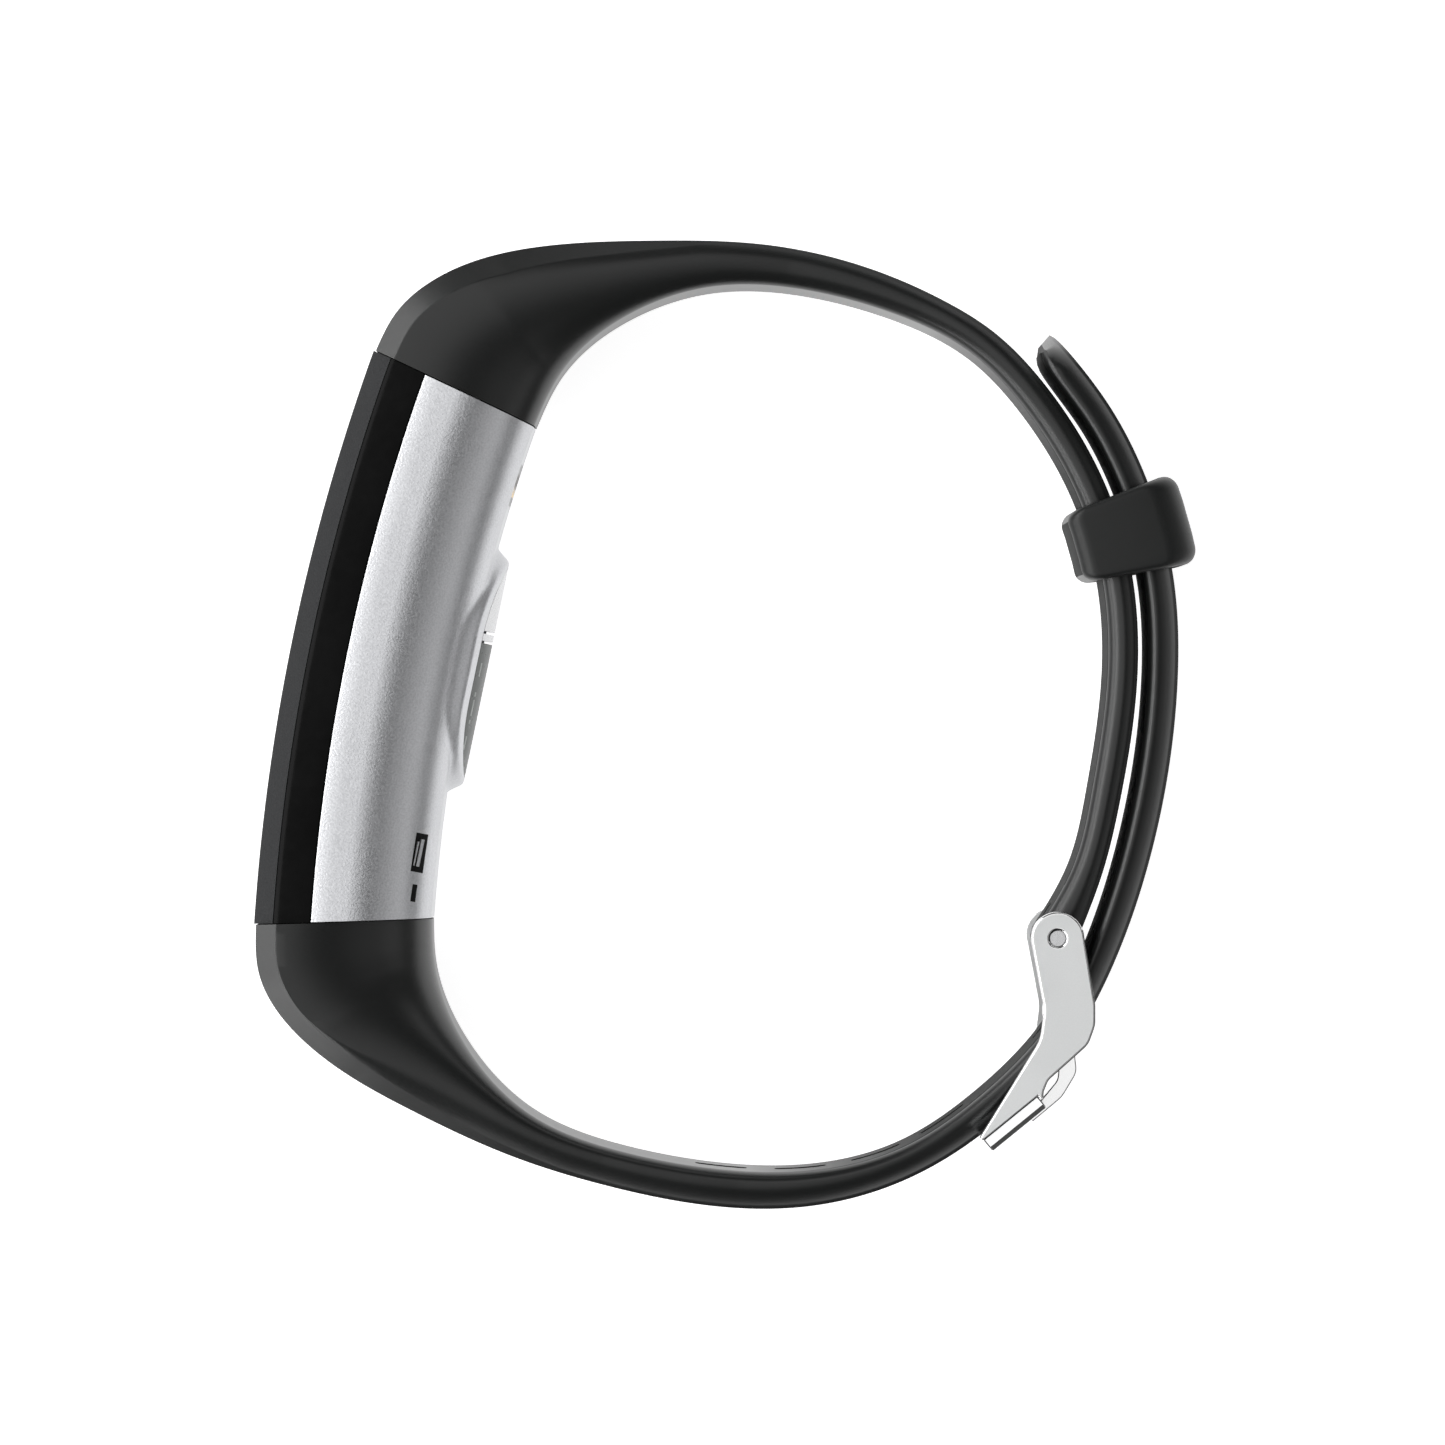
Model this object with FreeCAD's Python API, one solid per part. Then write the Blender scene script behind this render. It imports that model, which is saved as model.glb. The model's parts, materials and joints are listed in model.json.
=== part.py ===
"""Fitness tracker band, buckled into its loop and lying on its side.

Millimetres. +Z is the axis of the loop and Z = 0 is the surface it lies on. The display looks
along -X, +Y runs along the case towards the strap that carries the buckle, and the origin is
under the middle of the loop.
"""
import FreeCAD, Part
import math
import os

V = FreeCAD.Vector

# Overall
MID = 10.0  # height of the middle plane of the band
CASE_HALF_WIDTH = 10.0
STRAP_HALF_WIDTH = 8.3  # thin part of both straps
STRAP_THICKNESS = 2.1

# Case: every layer is an arc about one axis parallel to Z, so the case hugs the wrist
CASE_FRONT_X = -30.3
CASE_FRONT_RADIUS = 143.7
CASE_HEIGHT = 12.15  # from the glass to the back
CASE_HALF_LENGTH = 20.2  # at the front edge of the sloping ends
CASE_END_X = -28.7  # where that half length is measured
CASE_END_SLOPE = 0.2385  # how much shorter the case gets per mm towards the wrist
LENS_DEPTH = 1.35
BEZEL_DEPTH = 3.95  # from the front to the seam between bezel and metal

# Attachment of a strap: a lug on the end wall of the case carries a sprung bar
LUG_DEPTH = 7.4  # from the front of the case
LUG_REACH = 2.2  # bar axis beyond the end wall
LUG_RADIUS = 1.9
LUG_HALF_WIDTH = 6.0
LUG_CLEARANCE = 0.15

# Sprung bars
BAR_RADIUS = 0.9
BAR_BORE = 0.7
TIP_RADIUS = 0.53
FLANGE_RADIUS = 0.64
FLANGE_LENGTH = 0.8
TIP_REACH = 1.4  # how far a tip stands out of its tube
BAR_CLEARANCE = 0.03
SPRING_WIRE = 0.11
SPRING_COIL_RADIUS = 0.45
SPRING_PITCH = 0.85

# Loop: around the keeper both layers are arcs about one point
LOOP_X, LOOP_Y = -1.0, 5.1
UPPER_OUTSIDE = 28.7  # radius of the outer face of the buckle strap there
TAIL_OUTSIDE = 31.5  # radius of the outer face of the overlapping tail
TAIL_END = 55.5  # angle of the end of the tail

# Keeper
KEEPER_ANGLE = 27.5
KEEPER_LENGTH = 5.7
KEEPER_INSIDE, KEEPER_OUTSIDE = 25.25, 33.35
KEEPER_WALL = 1.05
KEEPER_SIDE_WALL = 1.35

# Buckle
PIN_X, PIN_Y = 25.69, -9.86
CHEEK_INNER, CHEEK_OUTER = 8.5, 9.85  # from the middle plane
BUCKLE_HEAD_RADIUS = 1.83
STRAP_HEAD_RADIUS = 1.5
TONGUE_HALF_WIDTH = 0.85
TONGUE_SLOT_HALF_WIDTH = 1.25
TONGUE_HUB_RADIUS = 1.6

# Adjustment holes in the lower strap
HOLE_LENGTH = 3.4
HOLE_WIDTH = 2.6
HOLE_CORNER = 0.6
HOLE_PLACES = [(6.2, -30.0), (11.55, -28.95), (16.4, -26.9), (20.4, -23.7), (27.25, -16.0),
               (29.35, -10.4), (29.95, -4.9)]
HOLE_DIRECTIONS = [88, 74, 60, 46, 31, 13, 4]  # of the strap's outward normal, below +X

# Sensor island on the back
ISLAND_LENGTH, ISLAND_WIDTH = 19.4, 14.8
ISLAND_DRAFT = 3.9  # how much smaller its top is than its foot
ISLAND_CROWN_X = -16.8
ISLAND_DOME_RADIUS = 20.0
WINDOW_INSET = 0.6
WINDOW_THICKNESS = 0.9

LAYER_AXIS_X = CASE_FRONT_X + CASE_FRONT_RADIUS

os.makedirs("parts", exist_ok=True)


def save(name, shape):
    shape.exportStep("parts/" + name + ".step")


# ---------------------------------------------------------------- building blocks

def prism(points, low, high):
    """Straight-sided polygon in plan, between two heights."""
    corners = [V(x, y, low) for x, y in points]
    return Part.Face(Part.makePolygon(corners + corners[:1])).extrude(V(0, 0, high - low))


def wire_prism(edges, low, high):
    """Closed outline of edges drawn at Z = 0, between two heights."""
    face = Part.Face(Part.Wire(edges))
    face.translate(V(0, 0, low))
    return face.extrude(V(0, 0, high - low))


def box(low, high):
    size = V(*high) - V(*low)
    return Part.makeBox(size.x, size.y, size.z, V(*low))


def rod(radius, x, y, low, high):
    return Part.makeCylinder(radius, high - low, V(x, y, low))


def layer(section, half_turn=10.0):
    """Case layer: points (depth behind the front, offset from the middle plane) swept round."""
    corners = [V(CASE_FRONT_X + depth, 0, MID + side) for depth, side in section]
    face = Part.Face(Part.makePolygon(corners + corners[:1]))
    centre, axis = V(LAYER_AXIS_X, 0, 0), V(0, 0, 1)
    face.rotate(centre, axis, -half_turn)
    return face.revolve(centre, axis, 2 * half_turn)


def both_sides(half):
    """Mirrors the upper half of a section about the middle plane."""
    return half + [(depth, -side) for depth, side in reversed(half)]


def case_end_y(x, inset=0.0):
    return CASE_HALF_LENGTH - inset - CASE_END_SLOPE * (x - CASE_END_X)


def between_ends(inset=0.0):
    """Tapered block that trims a layer to the sloping ends of the case."""
    near, far = -36.0, -12.0
    return prism([(near, -case_end_y(near, inset)), (far, -case_end_y(far, inset)),
                  (far, case_end_y(far, inset)), (near, case_end_y(near, inset))], -5, 25)


def stadium(length, width, x, thickness, y=0.0):
    """Long rounded plate facing +X, its length along Y."""
    r = width / 2
    h = length / 2 - r
    a, b = V(x, y - h, MID - r), V(x, y + h, MID - r)
    c, d = V(x, y + h, MID + r), V(x, y - h, MID + r)
    edges = [Part.makeLine(a, b), Part.Arc(b, V(x, y + h + r, MID), c).toShape(),
             Part.makeLine(c, d), Part.Arc(d, V(x, y - h - r, MID), a).toShape()]
    return Part.Face(Part.Wire(edges)).extrude(V(thickness, 0, 0))


def curve(points):
    spline = Part.BSplineCurve()
    spline.interpolate([V(x, y, 0) for x, y in points])
    return spline.toShape()


def arc_points(radius, angles):
    return [(LOOP_X + radius * math.cos(math.radians(a)),
             LOOP_Y + radius * math.sin(math.radians(a))) for a in angles]


def lug_axis(side):
    """Bar axis at the end of the case; side is +1 for the upper strap, -1 for the lower."""
    x = CASE_FRONT_X + LUG_DEPTH
    length = math.hypot(1, CASE_END_SLOPE)
    return (x + LUG_REACH * CASE_END_SLOPE / length,
            side * (case_end_y(x) + LUG_REACH / length))


def lug(side, grow=0.0, root=1.6):
    """Round-ended lug that stands out of the end wall of the case."""
    x, y = lug_axis(side)
    reach = LUG_RADIUS + grow
    length = math.hypot(1, CASE_END_SLOPE)
    out = (CASE_END_SLOPE / length, side / length)
    along = (out[1], -out[0])
    back = LUG_REACH + root
    low, high = MID - LUG_HALF_WIDTH - grow, MID + LUG_HALF_WIDTH + grow
    corners = [(x + along[0] * reach * s - out[0] * b, y + along[1] * reach * s - out[1] * b)
               for s, b in ((-1, 0), (-1, back), (1, back), (1, 0))]
    return prism(corners, low, high).fuse(rod(reach, x, y, low, high)).removeSplitter()


# ---------------------------------------------------------------- case and glass

def outer_section():
    """Solid cross-section of the metal case, with its flank rounding into the back."""
    def at(depth, side):
        return V(CASE_FRONT_X + depth, 0, MID + side)

    def mirrored(point):
        return at(point[0], -point[1])

    flank_start, flank_end = (6.4, 10.0), (CASE_HEIGHT, 5.4)
    bend = (10.19, 8.62)
    edges = [Part.makeLine(at(BEZEL_DEPTH, -9.85), at(BEZEL_DEPTH, 9.85)),
             Part.makeLine(at(BEZEL_DEPTH, 9.85), at(*flank_start)),
             Part.Arc(at(*flank_start), at(*bend), at(*flank_end)).toShape(),
             Part.makeLine(at(*flank_end), mirrored(flank_end)),
             Part.Arc(mirrored(flank_end), mirrored(bend), mirrored(flank_start)).toShape(),
             Part.makeLine(mirrored(flank_start), at(BEZEL_DEPTH, -9.85))]
    return Part.Face(Part.Wire(edges))


def case_blank():
    face = outer_section()
    centre, axis = V(LAYER_AXIS_X, 0, 0), V(0, 0, 1)
    face.rotate(centre, axis, -10)
    return face.revolve(centre, axis, 20).common(between_ends())


def island_blank():
    """Domed island: sloping flank below a top that is arched across the wrist."""
    base = stadium(ISLAND_LENGTH, ISLAND_WIDTH, -19.2, 0.01)
    top = stadium(ISLAND_LENGTH - ISLAND_DRAFT, ISLAND_WIDTH - ISLAND_DRAFT, -16.6, 0.01)
    flank = Part.makeLoft([base.Faces[-1].OuterWire, top.Faces[-1].OuterWire], True, True)
    dome_x = ISLAND_CROWN_X - ISLAND_DOME_RADIUS
    dome = Part.makeCylinder(ISLAND_DOME_RADIUS, 30, V(dome_x, -15, MID), V(0, 1, 0))
    return flank.common(dome)


def window_shell(low_y, high_y, gap=0.0):
    """Slice of the island's top layer that holds the window or the electrode."""
    dome_x = ISLAND_CROWN_X - ISLAND_DOME_RADIUS
    outer = Part.makeCylinder(ISLAND_DOME_RADIUS, 30, V(dome_x, -15, MID), V(0, 1, 0))
    inner = Part.makeCylinder(ISLAND_DOME_RADIUS - WINDOW_THICKNESS, 30,
                              V(dome_x, -15, MID), V(0, 1, 0))
    inset = ISLAND_DRAFT + WINDOW_INSET - 2 * gap
    plan = stadium(ISLAND_LENGTH - inset, ISLAND_WIDTH - inset, -19.0, 4.0)
    return plan.common(box((-20, low_y - gap, 0), (-10, high_y + gap, 20))).common(
        outer.cut(inner))


VENT = (-19.0, -13.1, 7.4)  # x, y and offset from the middle plane
MIC = (-19.0, -15.9, 7.4)


def flank_plug(place, length, width, depth=2.0):
    """Small plug across the rounded edge of the back, leaning at 45 degrees."""
    x, y, side = place
    plug = Part.makeBox(depth, length, width, V(-depth / 2, -length / 2, -width / 2))
    plug.rotate(V(0, 0, 0), V(0, 1, 0), -45)
    plug.translate(V(x, y, MID + side))
    return plug


CONTACT_Y = 13.2
CONTACT_SPACING = 4.0
CONTACT_RADIUS = 0.9
CONTACT_LENGTH = 2.1


def make_case():
    cavity = layer(both_sides([(BEZEL_DEPTH - 1, 8.6), (8.6, 8.6), (11.0, 6.3)]))
    case = case_blank().fuse(island_blank()).cut(cavity.common(between_ends(1.9)))
    case = case.cut(stadium(14.2, 7.6, -20.5, 3.4))
    case = case.cut(window_shell(-8.0, 8.2, 0.05))
    for side in (1, -1):
        x, y = lug_axis(side)
        case = case.fuse(lug(side)).cut(rod(BAR_RADIUS + BAR_CLEARANCE, x, y, 0, 20))
    case = case.cut(flank_plug(VENT, 2.7, 1.3)).cut(flank_plug(MIC, 1.2, 0.5))
    case = case.cut(box((-21, CONTACT_Y - 1.5, MID - 3.7), (-16, CONTACT_Y + 1.5, MID + 3.7)))
    save("metal_case", case)

    skin = case_blank()
    save("pressure_vent", skin.common(flank_plug(VENT, 2.7, 1.3)))
    save("microphone_mesh", skin.common(flank_plug(MIC, 1.2, 0.5)))
    holder = skin.common(box((-19.2, CONTACT_Y - 1.5, MID - 3.7), (-16, CONTACT_Y + 1.5, MID + 3.7)))
    for number, side in (("one", 1), ("two", -1)):
        z = MID + side * CONTACT_SPACING / 2
        pad = Part.makeCylinder(CONTACT_RADIUS, CONTACT_LENGTH, V(-19.4, CONTACT_Y, z), V(1, 0, 0))
        holder = holder.cut(pad)
        save("charge_contact_" + number, pad)
    save("contact_holder", holder)


def make_front():
    save("front_lens", layer(both_sides([(0, 7.9), (LENS_DEPTH, 9.3)])).common(between_ends()))
    ring = layer(both_sides([(LENS_DEPTH, 9.3), (3.0, 9.75), (BEZEL_DEPTH, 9.85)]))
    hollow = layer(both_sides([(0, 7.6), (5, 7.6)])).common(between_ends(2.6))
    skirt = layer(both_sides([(BEZEL_DEPTH, 8.3), (5.0, 8.3)])).common(between_ends(2.2))
    save("front_bezel", ring.common(between_ends()).fuse(skirt).cut(hollow))
    gasket = layer(both_sides([(4.2, 8.6), (4.7, 8.6)])).common(between_ends(1.9))
    filled = layer(both_sides([(4.0, 8.3), (5.0, 8.3)])).common(between_ends(2.2))
    save("bezel_gasket", gasket.cut(filled))
    save("lens_adhesive", layer(both_sides([(LENS_DEPTH, 7.4), (1.5, 7.4)])).common(
        between_ends(3.0)))
    save("display_panel", layer(both_sides([(1.5, 7.2), (2.4, 7.2)])).common(between_ends(3.4)))
    save("touch_film", layer(both_sides([(2.45, 7.2), (2.6, 7.2)])).common(between_ends(3.6)))


# ---------------------------------------------------------------- inside the case

def make_inside():
    frame = box((-26.4, -14.2, MID - 7.5), (-25.3, 14.2, MID + 7.5))
    frame = frame.cut(box((-27, 4, MID - 4), (-25, 11, MID + 4)))
    save("mid_frame", frame.cut(box((-26.0, -13, MID - 6.4), (-25.9, 3, MID + 6.4))))
    save("display_flex", box((-26.6, 5.4, MID - 3), (-24.4, 5.55, MID + 3)).fuse(
        box((-24.55, 5.4, MID - 3), (-24.4, 9, MID + 3))))
    board = box((-24.3, -14.6, MID - 7.6), (-23.5, 14.6, MID + 7.6))
    screws = []
    for y in (-13.4, 13.4):
        for side in (-1, 1):
            z = MID + side * 6.4
            hole = Part.makeCylinder(0.45, 3, V(-25.4, y, z), V(1, 0, 0))
            board = board.cut(hole)
            shank = Part.makeCylinder(0.42, 1.8, V(-25.3, y, z), V(1, 0, 0))
            screws.append(shank.fuse(Part.makeCylinder(0.75, 0.4, V(-23.5, y, z), V(1, 0, 0))))
    save("main_board", board)
    save("board_screws", Part.makeCompound(screws))
    for name, y, side, length, width, tall in (
            ("processor", 7.6, 2.6, 4.6, 4.6, 0.8), ("memory_chip", 7.6, -3.0, 3.6, 4.2, 0.7),
            ("radio_chip", 11.4, -4.0, 2.4, 2.4, 0.5), ("motion_sensor", 11.4, 0.2, 2.0, 2.2, 0.5)):
        save(name, box((-23.5, y - length / 2, MID + side - width / 2),
                       (-23.5 + tall, y + length / 2, MID + side + width / 2)))
    save("radio_antenna", box((-24.45, 13.6, MID - 5), (-24.3, 14.4, MID + 5)))
    save("battery_pad", box((-23.5, -12.0, MID - 6.4), (-23.2, 4.4, MID + 6.4)))
    cell = box((-23.2, -12.5, MID - 6.9), (-20.4, 4.6, MID + 6.9))
    save("battery", cell.makeFillet(0.6, [e for e in cell.Edges if e.Length > 10]))


MOTOR_X, MOTOR_Y = -21.3, 11.6
MOTOR_RADIUS = 1.6


def make_motor():
    """Bar motor across the case: the can holds still, the shaft and its weight spin."""
    low, high = MID - 6.0, MID + 1.0
    can = rod(MOTOR_RADIUS, MOTOR_X, MOTOR_Y, low, high)
    save("motor_can", can.cut(rod(1.25, MOTOR_X, MOTOR_Y, low + 0.4, high - 0.6)).cut(
        rod(0.38, MOTOR_X, MOTOR_Y, low - 1, high + 1)))
    save("motor_armature", rod(1.0, MOTOR_X, MOTOR_Y, low + 1.0, high - 1.4).cut(
        rod(0.35, MOTOR_X, MOTOR_Y, low, high)))
    save("motor_shaft", rod(0.35, MOTOR_X, MOTOR_Y, low + 0.1, high + 3.2))
    weight = rod(1.5, MOTOR_X, MOTOR_Y, high + 0.5, high + 3.0)
    weight = weight.cut(box((MOTOR_X - 3, MOTOR_Y - 3, 0), (MOTOR_X - 0.45, MOTOR_Y + 3, 20)))
    save("motor_weight", weight.cut(rod(0.35, MOTOR_X, MOTOR_Y, 0, 20)))
    cradle = box((MOTOR_X - 1.3, MOTOR_Y - 2.1, low + 0.6),
                 (MOTOR_X + 1.85, MOTOR_Y + 2.1, high - 0.6))
    save("motor_cradle", cradle.cut(rod(MOTOR_RADIUS, MOTOR_X, MOTOR_Y, 0, 20)))


def make_sensor():
    save("sensor_board", stadium(13.6, 7.2, -19.9, 0.5))
    for name, y, size in (("sensor_led_one", 0.4, 1.1), ("sensor_led_two", -5.0, 1.1),
                          ("light_detector", -2.6, 1.7)):
        save(name, box((-19.4, y - size / 2, MID - size / 2), (-18.9, y + size / 2, MID + size / 2)))
    barrier = stadium(8.6, 4.4, -19.4, 1.3, y=-2.4)
    for y in (0.4, -2.6, -5.0):
        barrier = barrier.cut(box((-20, y - 1.0, MID - 1.2), (-17, y + 1.0, MID + 1.2)))
    save("light_barrier", barrier)
    save("sensor_window", window_shell(-8.0, 2.0))
    save("electrode_plate", window_shell(2.8, 8.2))
    save("sensor_divider", window_shell(2.05, 2.75))


# ---------------------------------------------------------------- sprung bars

def make_bar(name, x, y, half_length):
    """Tube, two tips with their flanges, and the spring that pushes the tips apart."""
    tube = rod(BAR_RADIUS, x, y, MID - half_length, MID + half_length)
    tube = tube.cut(rod(BAR_BORE, x, y, MID - half_length + 0.35, MID + half_length - 0.35))
    save(name + "_tube", tube.cut(rod(TIP_RADIUS + 0.03, x, y, 0, 20)))
    stop = half_length - 0.4
    for end, way in (("near", 1), ("far", -1)):
        inner, shoulder, tip = (MID + way * (stop - FLANGE_LENGTH), MID + way * stop,
                                MID + way * (half_length + TIP_REACH))
        flange = rod(FLANGE_RADIUS, x, y, min(inner, shoulder), max(inner, shoulder))
        pin = rod(TIP_RADIUS, x, y, min(inner, tip), max(inner, tip))
        save(name + "_tip_" + end, flange.fuse(pin).removeSplitter())
    low = MID - stop + FLANGE_LENGTH + SPRING_WIRE + 0.02
    length = 2 * (MID - low)
    helix = Part.makeHelix(SPRING_PITCH, length, SPRING_COIL_RADIUS)
    section = Part.makeCircle(SPRING_WIRE, V(SPRING_COIL_RADIUS, 0, 0), V(0, 1, 0))
    spring = Part.Wire(helix).makePipeShell([Part.Wire(section)], True, True)
    spring.translate(V(x, y, low))
    save(name + "_spring", spring)


# ---------------------------------------------------------------- straps

UPPER_OUTER = [(-28.7, 20.2), (-27.9, 23.0), (-25.5, 26.1), (-22.2, 28.3), (-18.5, 29.8),
               (-11.1, 31.7), (-4.2, 32.9), (2.7, 32.9), (9.3, 31.6)]
UPPER_INNER = [(-16.96, 17.4), (-15.9, 21.4), (-12.1, 26.3), (-6.7, 29.4), (-0.4, 30.45),
               (5.8, 30.1)]
UPPER_ARC = (62, 50, 36, 22, 8)
UPPER_END_OUTER = [(28.02, 0.6), (27.85, -4.8)]
UPPER_END_INNER = [(25.95, 0.5), (25.75, -4.7)]

LOWER_OUTER = [(-28.7, -20.2), (-27.9, -23.3), (-23.2, -27.8), (-15.7, -30.6), (-8.3, -32.3),
               (-1.1, -33.0), (5.9, -32.9), (12.8, -31.5), (19.1, -28.2), (24.2, -23.2),
               (28.0, -17.0), (30.0, -10.3), (30.9, -2.4)]
LOWER_INNER = [(-16.96, -17.4), (-16.2, -20.3), (-12.7, -25.65), (-7.3, -29.3), (-0.8, -30.45),
               (5.8, -30.3), (12.2, -29.1), (18.0, -26.3), (22.6, -21.7), (26.25, -15.9),
               (28.1, -9.4), (28.82, -2.1)]
TAIL_ARC = (8, 20, 32, 44, 52)


def taper():
    """Side-view envelope: full width at the case, narrowing to the thin strap."""
    wide, thin, far = CASE_HALF_WIDTH, STRAP_HALF_WIDTH, 40
    half = [(-40, wide), (-25, wide), (-14, 9.35), (-2, 8.6), (8, thin), (far, thin)]
    corners = [V(x, -far, MID + side) for x, side in half]
    corners += [V(x, -far, MID - side) for x, side in reversed(half)]
    return Part.Face(Part.makePolygon(corners + corners[:1])).extrude(V(0, 2 * far, 0))


def fork(side):
    """Pocket for the lug and the two blind holes for the tips of its bar."""
    x, y = lug_axis(side)
    reach = LUG_HALF_WIDTH + TIP_REACH + 0.2
    return lug(side, LUG_CLEARANCE, 1.0).fuse(rod(TIP_RADIUS + 0.04, x, y, MID - reach, MID + reach))


def make_upper_strap():
    outer = UPPER_OUTER + arc_points(UPPER_OUTSIDE, UPPER_ARC) + UPPER_END_OUTER
    inside = UPPER_OUTSIDE - STRAP_THICKNESS
    inner = UPPER_INNER + arc_points(inside, UPPER_ARC) + UPPER_END_INNER
    neck_outer, neck_inner = (PIN_X + 1.44, PIN_Y + 0.42), (PIN_X - 1.48, PIN_Y + 0.25)
    outer.append(neck_outer)
    inner.append(neck_inner)
    edges = [curve(outer), Part.makeLine(V(*neck_outer, 0), V(*neck_inner, 0)),
             curve(inner), Part.makeLine(V(*inner[0], 0), V(*outer[0], 0))]
    strap = wire_prism(edges, 0, 20).fuse(rod(STRAP_HEAD_RADIUS, PIN_X, PIN_Y, 0, 20))
    strap = strap.common(taper()).cut(between_ends(-0.06)).cut(fork(1))
    strap = strap.cut(rod(BAR_RADIUS + BAR_CLEARANCE, PIN_X, PIN_Y, 0, 20))
    slot = TONGUE_SLOT_HALF_WIDTH
    save("upper_strap", strap.cut(box((PIN_X - 4, PIN_Y - 4, MID - slot),
                                      (PIN_X + 4, PIN_Y + 2.2, MID + slot))))


def strap_hole(place, direction):
    """Slot with rounded corners through the strap, its length along the strap."""
    x, y = place
    hole = Part.makeBox(6, HOLE_LENGTH, HOLE_WIDTH, V(-3, -HOLE_LENGTH / 2, MID - HOLE_WIDTH / 2))
    hole = hole.makeFillet(HOLE_CORNER, [e for e in hole.Edges if e.Length > 5])
    hole.rotate(V(0, 0, 0), V(0, 0, 1), -direction)
    hole.translate(V(x, y, 0))
    return hole


def make_lower_strap():
    outer = LOWER_OUTER + arc_points(TAIL_OUTSIDE, TAIL_ARC)
    inner = LOWER_INNER + arc_points(TAIL_OUTSIDE - STRAP_THICKNESS, TAIL_ARC)
    tip = arc_points(TAIL_OUTSIDE - STRAP_THICKNESS / 2, [TAIL_END])[0]
    edges = [curve(outer), Part.Arc(V(*outer[-1], 0), V(*tip, 0), V(*inner[-1], 0)).toShape(),
             curve(inner), Part.makeLine(V(*inner[0], 0), V(*outer[0], 0))]
    strap = wire_prism(edges, 0, 20).common(taper()).cut(between_ends(-0.06)).cut(fork(-1))
    for place, direction in zip(HOLE_PLACES, HOLE_DIRECTIONS):
        strap = strap.cut(strap_hole(place, direction))
    save("lower_strap", strap)


# ---------------------------------------------------------------- keeper and buckle

def make_keeper():
    """Loop whose walls follow the curve of the two layers inside it."""
    half_turn = math.degrees(KEEPER_LENGTH / 2 / 29.3)

    def tube(inside, outside, half_width):
        face = Part.Face(Part.makePolygon([V(LOOP_X + r, LOOP_Y, MID + z) for r, z in (
            (inside, -half_width), (outside, -half_width), (outside, half_width),
            (inside, half_width), (inside, -half_width))]))
        return face.revolve(V(LOOP_X, LOOP_Y, 0), V(0, 0, 1), 2 * half_turn)

    outer = tube(KEEPER_INSIDE, KEEPER_OUTSIDE, CASE_HALF_WIDTH)
    outer = outer.makeFillet(0.9, [e for e in outer.Edges if 4 < e.Length < 7])
    inner = tube(KEEPER_INSIDE + KEEPER_WALL, KEEPER_OUTSIDE - KEEPER_WALL,
                 CASE_HALF_WIDTH - KEEPER_SIDE_WALL)
    keeper = outer.cut(inner)
    keeper.rotate(V(LOOP_X, LOOP_Y, 0), V(0, 0, 1), KEEPER_ANGLE - half_turn)
    save("keeper_loop", keeper)


CHEEK_OUTLINE = [(27.46, -9.35), (29.17, -13.85), (29.45, -15.2), (29.25, -16.6), (27.05, -19.58),
                 (26.9, -20.4), (27.38, -21.48), (24.35, -25.21), (23.21, -24.46), (25.95, -17.0),
                 (25.8, -14.9), (23.93, -10.4)]
CROSSBAR = [(27.38, -21.48), (24.35, -25.21), (23.45, -24.48), (26.48, -20.75)]
NOTCH_DEPTH = 0.55
TONGUE_OUTLINE = [(26.95, -10.9), (26.85, -12.6), (26.75, -14.2), (27.5, -15.9), (28.73, -17.55),
                  (29.14, -18.8), (28.48, -20.7), (26.82, -22.8), (26.4, -22.5), (27.25, -20.9),
                  (27.93, -19.6), (27.8, -18.55), (26.85, -17.1), (25.95, -15.3), (25.75, -13.4),
                  (24.7, -11.0)]


def make_buckle():
    frame = None
    for low in (MID - CHEEK_OUTER, MID + CHEEK_INNER):
        high = low + CHEEK_OUTER - CHEEK_INNER
        cheek = prism(CHEEK_OUTLINE, low, high).fuse(
            rod(BUCKLE_HEAD_RADIUS, PIN_X, PIN_Y, low, high))
        frame = cheek if frame is None else frame.fuse(cheek)
    frame = frame.fuse(prism(CROSSBAR, MID - CHEEK_OUTER, MID + CHEEK_OUTER)).removeSplitter()
    frame = frame.cut(rod(TIP_RADIUS + 0.05, PIN_X, PIN_Y, -1, 21))
    middle = ((CROSSBAR[0][0] + CROSSBAR[1][0]) / 2, (CROSSBAR[0][1] + CROSSBAR[1][1]) / 2)
    notch = box((-NOTCH_DEPTH, -4, MID - 1.15), (2, 4, MID + 1.15))
    notch.rotate(V(0, 0, 0), V(0, 0, 1), -39.1)
    notch.translate(V(*middle, 0))
    save("buckle_frame", frame.cut(notch))

    hub = rod(TONGUE_HUB_RADIUS, PIN_X, PIN_Y, MID - TONGUE_HALF_WIDTH, MID + TONGUE_HALF_WIDTH)
    arm = prism(TONGUE_OUTLINE, MID - TONGUE_HALF_WIDTH, MID + TONGUE_HALF_WIDTH)
    tongue = hub.fuse(arm).removeSplitter()
    save("buckle_tongue", tongue.cut(rod(BAR_RADIUS + 0.05, PIN_X, PIN_Y, 0, 20)))


make_case()
make_front()
make_inside()
make_motor()
make_sensor()
make_bar("upper_bar", *lug_axis(1), LUG_HALF_WIDTH - 0.1)
make_bar("lower_bar", *lug_axis(-1), LUG_HALF_WIDTH - 0.1)
make_bar("buckle_bar", PIN_X, PIN_Y, STRAP_HALF_WIDTH - 0.1)
make_upper_strap()
make_lower_strap()
make_keeper()
make_buckle()
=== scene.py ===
"""Looks of the fitness tracker band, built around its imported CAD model."""
import json
import math

import bmesh
import bpy
import numpy as np
from mathutils import Matrix, Vector


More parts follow.
